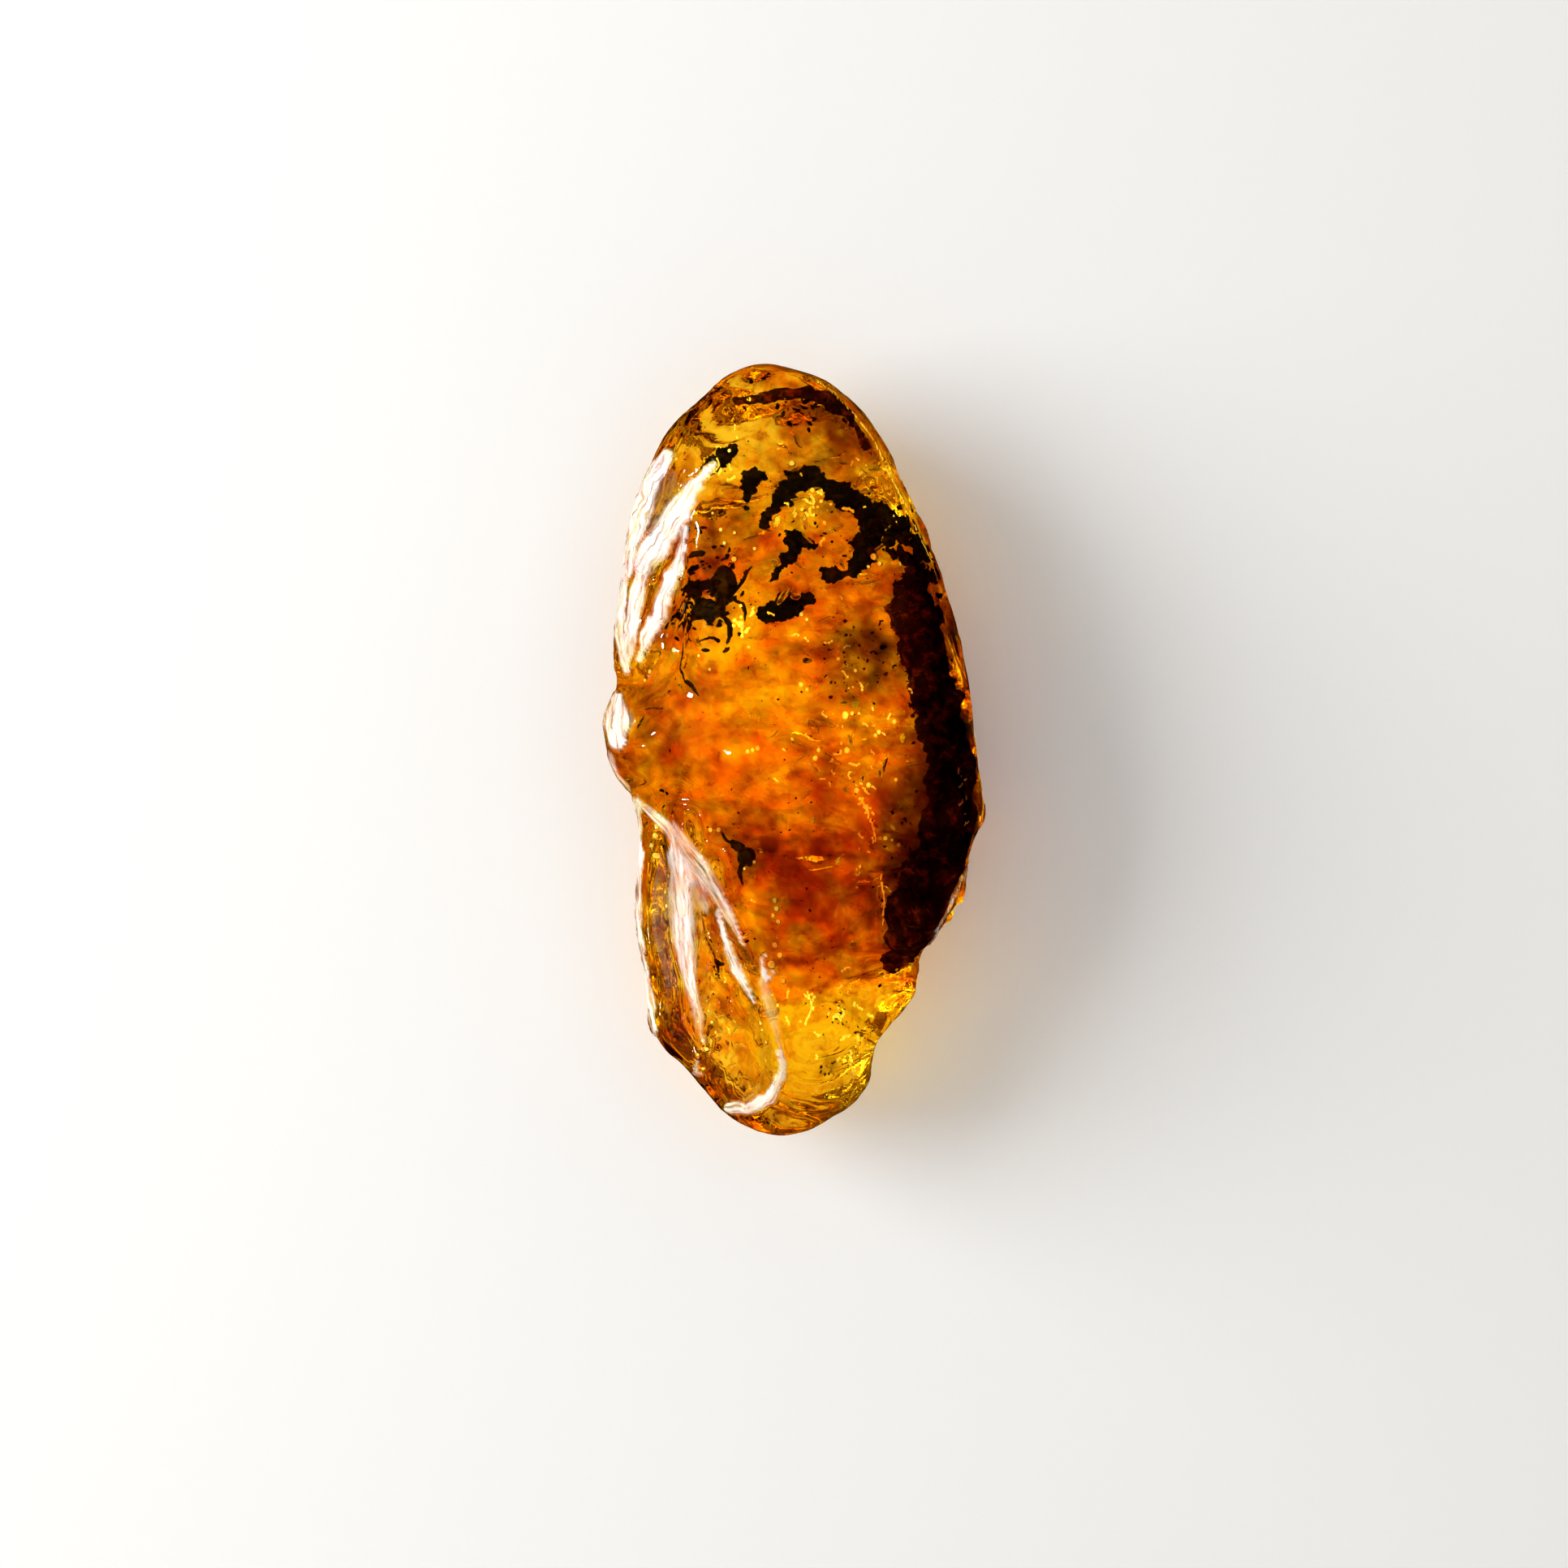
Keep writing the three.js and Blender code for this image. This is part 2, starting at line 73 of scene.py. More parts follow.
# The scooped hollow, its folds, the low lobe, the facet and the knobs, in millimetres
SCOOP_EDGE = [
    (-2.5, -9.8), (-3.7, -7.5), (-6.7, -5.4), (-9.2, -3.7), (-12.7, -2.2), (-15.7, -1.5),
    (-18.7, -0.8), (-20.7, -1.1), (-22.2, -2.5),
]
SCOOP_DEPTH = [(-2.2, 0), (-4.2, 1.4), (-7, 3), (-10, 3.3), (-16, 2.5), (-20.5, 1.3), (-23.4, 0.2)]
SCOOP_WALL = 1.7
SCOOP_FOOT = 0.6
SCOOP_FOOT_WIDTH = 2
FOLDS = [
    {"crest": [(-4.8, -6.9), (-8.7, -6.6), (-13.2, -6.3), (-18.2, -5.6)],
     "rise": 1.2, "left": 0.7, "right": 0.9},
    {"crest": [(-7.5, -5.2), (-9.8, -4.6), (-12.6, -3.7), (-18.2, -1.6)],
     "rise": 0.8, "left": 0.7, "right": 0.7},
]
FOLD_FADE = 2
LOBE_EDGE = [(-5.5, 11.2), (-6.9, 10.6), (-9.4, 9.4), (-11.9, 8), (-13, 7.4)]
LOBE_DROP = 3.4
LOBE_WALL = 0.7
FACET = {"x": -6.5, "y": 11, "z": 13, "slope_x": 1, "slope_y": -0.08}
FACET_LEAST_SHARE = 0.3
FACET_SOFTNESS = 0.35
FACET_END = 6
FACET_END_RISE = 0.35
FACET_WAVE = 2.4
FACET_SEED = 71
BUMPS = [
    (-10.4, 1.4, 1.7, 1.3), (-10.6, 4.2, 0.9, -0.9), (3, 4, 5.5, 0.5), (-3.5, -1, 3.4, 0.35),
    (5.5, -6, 3, -0.35), (2.6, -14.5, 2.2, -0.6), (1.6, -19, 2.3, 0.6), (-1.5, 15, 3.6, -0.3),
]

# Fineness of the clear piece
RINGS = 380
SIDES = 208

# Noise: the constants of its hash, and how each finer layer fades and the whole is spread out
HASH_STEPS = (374761393, 668265263, 1440662683)
HASH_SEED = 974634777
HASH_MIX = 1274126177
CLOUD_FADE = 0.55
CLOUD_SPREAD = 1.6
CREASE_FADE = 0.5
CREASE_SHARPNESS = 2.2

# Kinds of noise in the skin, as (strength, size of its lumps in millimetres, layers, seed)
LUMPS = (0.11, 4.5, 2, 11)
POLISH = (0.02, 1.3, 2, 21)
STREAKS = (0.16, 0.9, 3, 31)
PLEATS = (0.22, 0.7, 3, 41)
RIM_LINES = (0.14, 0.8, 2, 51)
LOBE_WARP = (0.25, 2, 2, 81)
# Noise that moves and breaks up the painted highlight strokes
HIGHLIGHT_STROKE_WANDER = (0.16, 0.9, 4, 35)
HIGHLIGHT_STROKE_PATCHES = (0.25, 1.3, 2, 47)

# How noise is drawn out into lines: how x leans along y, and the squeeze along y and z
STREAK_LINES = (-0.4, 0.16, 0.5)
PLEAT_LINES = (-0.25, 0.13, 0.2)
RIM_LINES_DRAWN = (0.45, 0.12, 1)

# Pits of the underside, shallower towards the ends
PIT_DEPTH = 0.7
PIT_CELL = 1.7
PIT_LAYERS = 3
PIT_SEED = 61
PIT_STEEPNESS = 1.3
PIT_LEAST = 0.35

# Round ripples on the near lobe
LOBE_CENTRE = (1.6, -16.6)
LOBE_SQUEEZE = 1.1
RIPPLE_LENGTH = 1.3
RIPPLE_HEIGHT = 0.035

# Where a kind of relief comes in, as (where it starts, over how many millimetres it rises)
TOP_ABOVE_LEVEL = (-0.5, 2)
FLANK_TO_LEFT = (5.5, 1.5)
FLANK_TO_FAR_END = (3, 3)
RIM_TO_RIGHT = (4.5, 2)
RIM_TO_FAR_END = (2, 5)
RIM_BELOW_CROWN = (-4.5, 3)
PITS_FROM_NEAR_END = (-17, 4)
PITS_FROM_FAR_END = (-21, 4)
RIPPLES_FROM_CENTRE = (1.2, 1)
RIPPLES_TO_NEAR_END = (15.5, 2)
# Where the painted highlight strokes come in, above the widest level
HIGHLIGHT_ABOVE_LEVEL = (-1.4, 1)

# The same for a stroke's edge, in its half widths, and for all relief towards the two ends
STROKE_EDGE = (0.7, 0.6)
CALM_ENDS = (0, 0.12)


def through(knots):
    """A smooth function of an array, through knots (at, value), level beyond its ends."""
    knots = np.array(sorted(knots), float)
    at, value = knots[:, 0], knots[:, 1]
    before = np.maximum(np.arange(len(at)) - 1, 0)
    after = np.minimum(np.arange(len(at)) + 1, len(at) - 1)
    slope = (value[after] - value[before]) / (at[after] - at[before])

    def curve(x):
        x = np.clip(x, at[0], at[-1])
        i = np.clip(np.searchsorted(at, x, side="right") - 1, 0, len(at) - 2)
        span = at[i + 1] - at[i]
        t = (x - at[i]) / span
        rise = value[i + 1] - value[i]
        a = slope[i] * span - rise
        b = rise - slope[i + 1] * span
        return value[i] + t * rise + t * (1 - t) * (a * (1 - t) + b * t)

    return curve


def smooth_step(t):
    t = np.clip(t, 0, 1)
    return t * t * (3 - 2 * t)


def rising(value, band):
    """0 below the band's start, and smoothly up to 1 over its width."""
    start, width = band
    return smooth_step((value - start) / width)


def signed_power(value, power):
    return np.sign(value) * np.abs(value) ** power


def lattice_noise(points, cell, seed):
    """Smooth noise between -1 and 1 with lumps of about one cell, the same on every run."""
    p = points / cell
    low = np.floor(p).astype(np.int64)
    t = smooth_step(p - low)
    total = np.zeros(p.shape[:-1])
    for corner in range(8):
        step = np.array([corner & 1, corner >> 1 & 1, corner >> 2 & 1])
        at = low + step
        h = at @ np.array(HASH_STEPS) + seed * HASH_SEED
        h = h & 0xFFFFFFFF
        h = ((h ^ (h >> 13)) * HASH_MIX) & 0xFFFFFFFF
        h = h ^ (h >> 16)
        weight = np.prod(np.where(step, t, 1 - t), axis=-1)
        total += weight * ((h & 0xFFFF) / 32767.5 - 1)
    return total


def layered(octaves, fade, layer):
    """The mean of layers, each weighted less than the one before it."""
    total, strength, full = 0, 1, 0
    for octave in range(octaves):
        total = total + strength * layer(octave)
        full += strength
        strength *= fade
    return total / full


def cloudy(points, cell, octaves, seed):
    """Noise with finer and finer lumps, about -1 to 1."""
    def lumps(octave):
        return lattice_noise(points, cell / 2**octave, seed + octave)

    return layered(octaves, CLOUD_FADE, lumps) * CLOUD_SPREAD


def creased(points, cell, octaves, seed):
    """Noise with sharp crests, 0 to 1."""
    def ridges(octave):
        return 1 - np.abs(lattice_noise(points, cell / 2**octave, seed + octave)) * CREASE_SHARPNESS

    return np.clip(layered(octaves, CREASE_FADE, ridges), 0, 1)


def noisy(points, kind):
    """Cloudy noise of one kind, given as (strength, size of its lumps, layers, seed)."""
    strength, cell, octaves, seed = kind
    return strength * cloudy(points, cell, octaves, seed)


def drawn_out(points, lines):
    """Points leaned and squeezed, so that noise on them runs in lines along the nugget."""
    lean, along, up = lines
    x, y, z = points[..., 0], points[..., 1], points[..., 2]
    return np.stack([x + lean * y, y * along, z * up], axis=-1)


def outline_side(side):
    inner = [(math.acos(y / HALF_LENGTH), x) for y, x in side]
    return through([(0, FAR_END_X), *inner, (math.pi, NEAR_END_X)])


left_side = outline_side(LEFT_SIDE)
right_side = outline_side(RIGHT_SIDE)
widest_level = through(WIDEST_LEVEL)
crown_share = through(CROWN_SHARE)
keel_share = through(KEEL_SHARE)
scoop_edge = through(SCOOP_EDGE)
scoop_depth = through(SCOOP_DEPTH)
lobe_edge = through(LOBE_EDGE)


def fold_rise(x, y):
    rise = np.zeros_like(x)
    for fold in FOLDS:
        start = fold["crest"][0][0] + FOLD_FADE
        end = fold["crest"][-1][0] - FOLD_FADE
        fade = smooth_step((start - y) / FOLD_FADE) * smooth_step((y - end) / FOLD_FADE)
        off = x - through(fold["crest"])(y)
        spread = np.where(off < 0, fold["left"], fold["right"])
        rise += fold["rise"] * fade * np.exp(-((off / spread) ** 2))
    return rise


def bump_rise(x, y):
    rise = np.zeros_like(x)
    for bump_x, bump_y, radius, height in BUMPS:
        rise += height * np.exp(-((x - bump_x) ** 2 + (y - bump_y) ** 2) / radius**2)
    return rise


def scoop_share(x, y, inset):
    """1 in the hollow at the lower left, 0 outside it."""
    on_foot = smooth_step((inset - SCOOP_FOOT) / SCOOP_FOOT_WIDTH)
    return on_foot * smooth_step((scoop_edge(y) - x) / SCOOP_WALL)


def drop_of_top(x, y, inset):
    scoop = scoop_depth(y) * scoop_share(x, y, inset)
    on_lobe = (y < LOBE_EDGE[0][0]) & (y > LOBE_EDGE[-1][0])
    lobe = np.where(on_lobe, LOBE_DROP * smooth_step((x - lobe_edge(y)) / LOBE_WALL), 0)
    return scoop + lobe - fold_rise(x, y) - bump_rise(x, y)


def nugget_form(along, around):
    """Points of the smooth nugget, the same form as the solids, in millimetres."""
    y = HALF_LENGTH * np.cos(along)
    on_top = around < TOP_SHARE
    turn = np.where(
        on_top,
        math.pi * around / TOP_SHARE,
        math.pi * (1 + (around - TOP_SHARE) / (1 - TOP_SHARE)),
    )
    middle = (left_side(along) + right_side(along)) / 2
    half_width = (right_side(along) - left_side(along)) / 2
    inset = half_width * (1 - signed_power(np.cos(turn), ACROSS_POWER))
    x = middle - half_width + inset
    up = signed_power(np.sin(turn), UP_POWER)
    level = widest_level(y)
    bulk = np.sin(along) ** END_ROUNDING
    dome = CROWN * crown_share(y) * bulk * np.maximum(up, 0)
    drop = drop_of_top(x, y, inset) * np.minimum(1, DROP_ONSET * np.maximum(up, 0) * bulk)
    height = np.maximum(LEAST_SHARE * dome, dome - drop)
    facet = FACET["z"] + FACET["slope_x"] * (x - FACET["x"]) + FACET["slope_y"] * (y - FACET["y"])
    waves = lattice_noise(np.stack([x, y, x * 0], axis=-1), FACET_WAVE, FACET_SEED)
    facet += FACET_SOFTNESS * (2 * waves + 1)
    facet += FACET_END_RISE * np.maximum(FACET_END - y, 0)
    facet_top = np.maximum(facet, level + FACET_LEAST_SHARE * dome)
    over = -(level + height) / FACET_SOFTNESS
    top = -FACET_SOFTNESS * np.logaddexp(over, -facet_top / FACET_SOFTNESS)
    keel = np.maximum(level + KEEL * keel_share(y) * bulk * np.minimum(up, 0), 0)
    return np.stack([x, y, np.where(on_top, top, keel)], axis=-1), inset


def outward(points):
    """Unit normals of a grid of points that closes on itself around."""
    along = np.gradient(points, axis=0)
    around = (np.roll(points, -1, axis=1) - np.roll(points, 1, axis=1)) / 2
    normal = np.cross(along, around)
    return normal / np.maximum(np.linalg.norm(normal, axis=-1, keepdims=True), 1e-9)


# Whitish strokes on the skin, painted highlights where the skin is also rougher and a little proud: line from
# above, half widths along it, strength
HIGHLIGHT_STROKES = [
    ([(-7.8, 17.9), (-8.8, 16.6), (-9.5, 14.7), (-10, 12.8), (-10.4, 11)], (0.4, 0.85, 0.45), 1),
    ([(-10.4, 11), (-10.75, 8.4), (-10.6, 6.5), (-10.2, 4.9)], (0.3, 0.35, 0.3), 0.9),
    ([(-4.9, 17.3), (-6.4, 15.5), (-7.3, 14.1), (-8.2, 12.7), (-9.2, 11.3)], (0.12, 0.85, 0.65), 1),
    ([(-9.2, 11.3), (-9.7, 9), (-10.1, 6.8), (-10.2, 5)], (0.45, 0.5, 0.25), 0.9),
    ([(-6.6, 13.4), (-7, 11.5), (-7.9, 9.6), (-8.3, 8.2)], (0.15, 0.42, 0.42), 1),
    ([(-8.3, 8.2), (-9, 6.8), (-9.4, 5.4)], (0.4, 0.4, 0.15), 0.95),
    ([(-7.6, 16.6), (-8.3, 14.6), (-9.1, 12.6)], (0.4, 0.8, 0.3), 0.16),
    ([(-10.8, 3.2), (-10.9, 1.9), (-10.8, 0.6)], (0.35, 0.95, 0.55), 1),
    ([(-11.3, -0.2), (-10.9, -1.5), (-10.2, -2.3)], (0.15, 0.15), 0.6),
    ([(-9.7, -2.9), (-9.5, -6), (-9.6, -9), (-9.6, -11.5), (-9.2, -13.6)], (0.2, 0.25, 0.3), 0.9),
    ([(-9.2, -13.6), (-9, -15.4), (-8.6, -17.4)], (0.3, 0.42, 0.12), 1),
    ([(-9.8, -2.9), (-7.8, -4.6), (-5.7, -7.1), (-4.3, -9.4), (-3.2, -11.6)], (0.1, 0.6, 0.12), 0.75),
    ([(-7.3, -4.4), (-6.6, -6.2), (-6, -8.2), (-5.5, -9.6)], (0.15, 0.95, 0.25), 0.7),
    ([(-7.5, -4.8), (-7.2, -7), (-6.9, -9.6), (-6.8, -11), (-6.5, -13.5), (-6.1, -15.5)],
     (0.1, 0.85, 0.75, 0.1), 1),
    ([(-6.8, -11.5), (-6.4, -14.2), (-5.9, -16.4), (-5.5, -17.9)], (0.3, 0.42, 0.1), 0.6),
    ([(-4.7, -9.8), (-4, -12.2), (-3.5, -13.4), (-2.4, -15.4)], (0.12, 0.4, 0.1), 0.95),
    ([(-1.8, -12.4), (-2, -13.4), (-1.8, -13.9), (-1.3, -13.2)], (0.12, 0.16, 0.08), 0.9),
    ([(-2, -13.9), (-1.5, -15.8), (-0.9, -17.8)], (0.25, 0.35, 0.1), 0.3),
    ([(-0.9, -17.8), (-0.8, -19.8), (-1.6, -21.2), (-2.9, -22), (-4.1, -21.9)], (0.12, 0.4, 0.3), 0.95),
    ([(10.8, -6.8), (9.8, -8.7), (8.2, -11.8)], (0.1, 0.14, 0.1), 0.75),
    ([(10.9, 1.5), (11.4, -1), (11.55, -3.4), (11.2, -5.4)], (0.05, 0.08, 0.05), 0.3),
    ([(-5.9, -19.1), (-6.2, -19.7), (-5.6, -19.8)], (0.1, 0.18, 0.08), 0.8),
]

# How far a highlight stroke stands proud, and the size of the fine lines in it
HIGHLIGHT_STROKE_LEDGE = 0.12
FIBRE_WIDTH = 0.16
FIBRE_LENGTH = 2.2
FIBRE_SEED_STEP = 7


def line_parts(x, y, along, width):
    """Nearness to a line of points, 1 on it and 0 past its half width, and places across and along it."""
    widths = np.interp(np.arange(len(along)), np.linspace(0, len(along) - 1, len(width)), width)
    share, across, run = np.zeros_like(x), np.zeros_like(x), np.zeros_like(x)
    start = 0
    for (x0, y0), (x1, y1), w0, w1 in zip(along[:-1], along[1:], widths[:-1], widths[1:]):
        length = math.hypot(x1 - x0, y1 - y0)
        to_x, to_y = (x1 - x0) / length, (y1 - y0) / length
        forward = np.clip((x - x0) * to_x + (y - y0) * to_y, 0, length)
        aside = (x - x0) * to_y - (y - y0) * to_x
        half_width = w0 + forward / length * (w1 - w0)
        off = np.hypot(x - x0 - forward * to_x, y - y0 - forward * to_y) / half_width
        here = 1 - rising(off, STROKE_EDGE)
        nearer = here > share
        share = np.where(nearer, here, share)
        across = np.where(nearer, aside, across)
        run = np.where(nearer, start + forward, run)
        start += length
    return share, across, run


def highlight_stroke_parts(points):
    """How strongly the skin carries the painted highlight strokes, 1 on the strokes of the top, and places
    across and along those strokes.
    """
    x, y, z = points[..., 0], points[..., 1], points[..., 2]
    # The painted highlight strokes lie only above the widest level
    above = rising(z - widest_level(y), HIGHLIGHT_ABOVE_LEVEL)
    wander = noisy(points, HIGHLIGHT_STROKE_WANDER)
    highlight_share = np.zeros_like(x)
    lines = np.zeros(points.shape)
    for number, (along, width, strength) in enumerate(HIGHLIGHT_STROKES):
        share, across, run = line_parts(x + wander, y - wander, along, width)
        share = strength * share
        nearer = share > highlight_share
        highlight_share = np.where(nearer, share, highlight_share)
        own = np.full_like(x, FIBRE_SEED_STEP * number)
        place = np.stack([across / FIBRE_WIDTH, run / FIBRE_LENGTH, own], axis=-1)
        lines = np.where(nearer[..., None], place, lines)
    uneven = 1 + noisy(points, HIGHLIGHT_STROKE_PATCHES)
    return above * np.clip(highlight_share * uneven, 0, 1), lines


def skin_relief(points, inset):
    """Height of the fine relief of the skin above the smooth form, in millimetres."""
    x, y, z = points[..., 0], points[..., 1], points[..., 2]
    level = widest_level(y)
    top = rising(z - level, TOP_ABOVE_LEVEL)
    under = 1 - top
    scoop = scoop_share(x, y, inset) * top
    flank = rising(-x, FLANK_TO_LEFT) * rising(y, FLANK_TO_FAR_END) * top
    rim = rising(x, RIM_TO_RIGHT) * rising(y, RIM_TO_FAR_END) * rising(level - z, RIM_BELOW_CROWN)

    lumps = noisy(points, LUMPS)
    polish = top * noisy(points, POLISH)
    streaks = flank * noisy(drawn_out(points, STREAK_LINES), STREAKS)
    pleats = scoop * noisy(drawn_out(points, PLEAT_LINES), PLEATS)
    rim_lines = rim * noisy(drawn_out(points, RIM_LINES_DRAWN), RIM_LINES)

    inner = rising(y, PITS_FROM_NEAR_END) * rising(-y, PITS_FROM_FAR_END)
    pitted = under * (PIT_LEAST + (1 - PIT_LEAST) * inner)
    pits = -PIT_DEPTH * pitted * creased(points, PIT_CELL, PIT_LAYERS, PIT_SEED) ** PIT_STEEPNESS

    from_lobe = np.hypot((x - LOBE_CENTRE[0]) * LOBE_SQUEEZE, y - LOBE_CENTRE[1])
    from_lobe += noisy(points, LOBE_WARP)
    rippled = top * rising(from_lobe, RIPPLES_FROM_CENTRE) * rising(-y, RIPPLES_TO_NEAR_END)
    ripples = RIPPLE_HEIGHT * rippled * np.sin(2 * math.pi * from_lobe / RIPPLE_LENGTH)
    ledges = HIGHLIGHT_STROKE_LEDGE * highlight_stroke_parts(points)[0]
    return lumps + polish + streaks + pleats + rim_lines + pits + ripples + ledges


def nugget_skin():
    """The skin's rings of points, and the two end points, in millimetres."""
    along = np.linspace(0, math.pi, RINGS + 1)[1:-1, None] * np.ones((1, SIDES))
    around = np.arange(SIDES)[None, :] / SIDES * np.ones((RINGS - 1, 1))
    points, inset = nugget_form(along, around)
    relief = skin_relief(points, inset)
    ends = rising(np.sin(along), CALM_ENDS)
    points = points + outward(points) * (relief * ends)[..., None]
    points[..., 2] = np.maximum(points[..., 2], 0)
    far = np.array([FAR_END_X, HALF_LENGTH, widest_level(HALF_LENGTH)])
    near = np.array([NEAR_END_X, -HALF_LENGTH, widest_level(-HALF_LENGTH)])
    return points, far, near


def ring_faces(rings, sides):
    """Faces of a closed skin: point 0 is the far end, then the rings, and the last is the near end."""
    faces = []
    last = 1 + rings * sides
    for j in range(sides):
        k = (j + 1) % sides
        faces.append((0, 1 + j, 1 + k))
        faces.append((last, last - sides + k, last - sides + j))
    for i in range(rings - 1):
        a = 1 + i * sides
        b = a + sides
        for j in range(sides):
            k = (j + 1) % sides
            faces.append((a + j, b + j, b + k, a + k))
    return faces


def smooth_piece(name, mesh, slot):
    """A smoothly shaded piece that rides with the stone."""
    mesh.polygons.foreach_set("use_smooth", [True] * len(mesh.polygons))
    mesh.update()
    piece = bpy.data.objects.new(name, mesh)
    bpy.context.scene.collection.objects.link(piece)
    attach(piece, "root")
    return piece


def new_piece(name, verts_mm, faces, slot):
    mesh = bpy.data.meshes.new(name)
    mesh.from_pydata((np.asarray(verts_mm) * MM).tolist(), [], faces)
    mesh.validate()
    return smooth_piece(name, mesh, slot)


# Coloured zones as seen from above: x, y, reach along x and y, added redness, added darkness
ZONES = [
    (-4.3, 20.2, 2.8, 2.6, -2.6, -1.5), (2.3, 19.7, 2.6, 1.8, 1.2, 1.4),
    (5.7, 15.4, 0.9, 1.8, -1.5, -0.9), (-4.7, 16.6, 1.1, 1.2, -2.6, -1), (4.5, 17, 3, 2.5, 0.2, 0.3),
    (0.8, 14.7, 1.8, 2.0, -1.2, -0.2), (-5.8, 12.5, 2.0, 4.5, 0.7, 0.6), (-3.2, 7.8, 1.2, 2, -2.2, -1),
    (-2.8, 9.2, 1.3, 2.6, 0.5, -0.3), (1.0, 2.8, 6.5, 5.0, -0.35, -0.15),
    (3.8, 5.6, 2.0, 1.7, 2.0, 2.2), (2.0, -8.2, 4.0, 5.5, 2.3, 0.9), (9.3, -0.6, 2.1, 13, 1.7, 2.4),
    (8.2, 8.6, 1.6, 4.5, 1.2, 1.3), (-7.7, -1.6, 1.1, 1.6, 1.9, 0.7),
    (-2.7, -9.8, 0.6, 2.3, -2.6, -0.8), (6.4, -4.2, 1.3, 2.4, 0.9, 1.0),
    (-7.6, 5.8, 1.3, 1.2, -1.2, -0.1), (-6.2, -19.6, 1.3, 1.6, -0.6, -1.2),
    (10.2, -3, 1.2, 4, 0.8, 1.0), (3.0, -18.7, 4.4, 4.8, -2.9, -1.0), (2.0, -19.2, 0.9, 0.75, 0.9, 1.7),
    (9.4, -9.6, 1.0, 2.0, -0.4, -1.8), (-8.7, -8.5, 0.8, 6, -0.9, 0.2), (-7.0, -18.2, 0.8, 1.2, 1.3, 0),
    (-2.6, -5.5, 1.8, 1.8, 0.6, 0.5), (7.0, -8.5, 2.0, 4.2, 0.9, 1.6), (10.9, 2.4, 1.8, 6.5, 2.6, 2.2),
    (9.4, 12, 0.9, 2.2, 0.2, -0.9), (5.5, 19.5, 1.2, 4.5, -0.2, -0.2), (-9.2, 1.5, 1.6, 2.6, -0.3, 0.3),
]
ZONE_WARP = (1.1, 3.2, 4)
WARP_SEED_STEP = 20
BASE_REDNESS = 1.0
BASE_DARKNESS = 0.2

# The clearest colour of the stone, and how fast redness takes red, green and blue from it
CLEAR_COLOUR = (1, 0.95, 0.12)
TINT_RATES = (0.05, 0.58, 1.6)
LEAST_TINT = 0.002

# The resting side: its share of the stain, and how much smaller than from above its zones are
UNDER_WEIGHT = 0.5
UNDER_SCALE = (0.62, 0.9)
UNDER_REACH = 10.8
TOP_ZONE_SEED = 101
UNDER_ZONE_SEED = 141
TINT_ABOVE_LEVEL = (-2.5, 2.5)

# Mottles and mists in the tint, as (strength, size of the lumps, layers, seed), and what each adds
MOTTLE = (1, 1.4, 4, 111)
BLOTCH = (1, 0.75, 3, 191)
DARK_MIST = (0.75, 0.7, 4, 151)
DARK_SPOTS = (1, 0.9, 4, 131)
DARK_SPOT_ONSET = 0.3
GRAIN_CELL = 0.8
GRAIN_LAYERS = 3
GRAIN_SEED = 121
GRAIN_MIDDLE = 0.45
UNDER_MOTTLE = 0.45
RED_BY = {"mottled share": 0.9, "mottle": 1.1, "grain": 1.3, "blotch": 0.9}
DARK_BY = {"mottled share": 0.8, "spots": 1.1, "blotch": 0.5}
STAIN_AND_SHADE_WANDER = (0.12, 0.7, 3, 161)
SPOT_WANDER_X = (0.25, 0.6, 3, 171)
SPOT_WANDER_Y = (0.25, 0.6, 3, 181)

# Stained or clear strokes just under the skin, with one stroke of painted shade and one painted dark
# reflection: line, half widths, added redness, added darkness
STAIN_AND_SHADE_STROKES = [
    ([(1, 22.6), (3.7, 20.2), (5.3, 18.1), (6.2, 15.8), (7.1, 14.6)], (0.2, 0.3), -2, -0.7),
    ([(7.1, 14.6), (7.8, 12.5), (8.4, 11.1)], (0.25, 0.15), -1.6, -0.7),
    ([(2.4, 22), (4.4, 20), (6, 17.8), (7, 15.9)], (0.1, 0.12), 1.6, 0.2),
    ([(9.3, 8.5), (10, 5), (10.5, 1.5)], (0.08, 0.1), 0.3, -0.6),
    # Painted shade: the dark valley beside the narrow ridge of the hollow
    ([(-6.6, -10.6), (-4.9, -9.6), (-4.3, -11.4), (-3.4, -13.6), (-2.5, -15.4)], (0.1, 0.3), 0.1, 1.6),
    # Darker along the slit beside the left lobe
    ([(-7.9, -4.8), (-7.8, -7.6)], (0.12, 0.16), 0.3, 2.4),
    ([(-8.3, -10.4), (-8.1, -12.4)], (0.16, 0.12), 0.5, 0.4),
    # Painted dark reflection: the dark window in the highlight of the facet
    ([(-8, 16.2), (-8.4, 14), (-8.9, 12.2)], (0.9, 0.3), 0.4, 1.1),
    ([(-5.2, 15.8), (-5.9, 13.6), (-6.1, 11.2)], (0.3, 0.55, 0.4), -0.9, -1.0),
    ([(-5.2, 14.6), (-5, 13.4), (-4.9, 12.2)], (0.2, 0.3, 0.15), 0.4, 0.9),
    ([(-7, 11.3), (-8, 9.7), (-9, 8.2)], (0.2, 0.1), 0.5, 0.8),
    ([(-6.5, -1.1), (-6.9, -2.4), (-7.3, -3.3)], (0.15, 0.22), 0.6, 1.5),
    ([(-1, 3.5), (-0.8, -1), (-0.6, -5)], (0.3, 0.3), -0.9, -0.5),
    ([(4.2, -2.5), (4.8, -6), (5.2, -10), (5, -13.5)], (0.5, 0.4), 0.5, -0.7),
    ([(-0.4, -13.9), (1.6, -14.4), (3.2, -13.5), (5, -14), (7.2, -14)], (0.3, 0.3), 0.8, 0.5),
    ([(0.2, -16.2), (1.8, -16.5), (3.4, -17.2)], (1.1, 0.9), -1.4, -0.4),
]
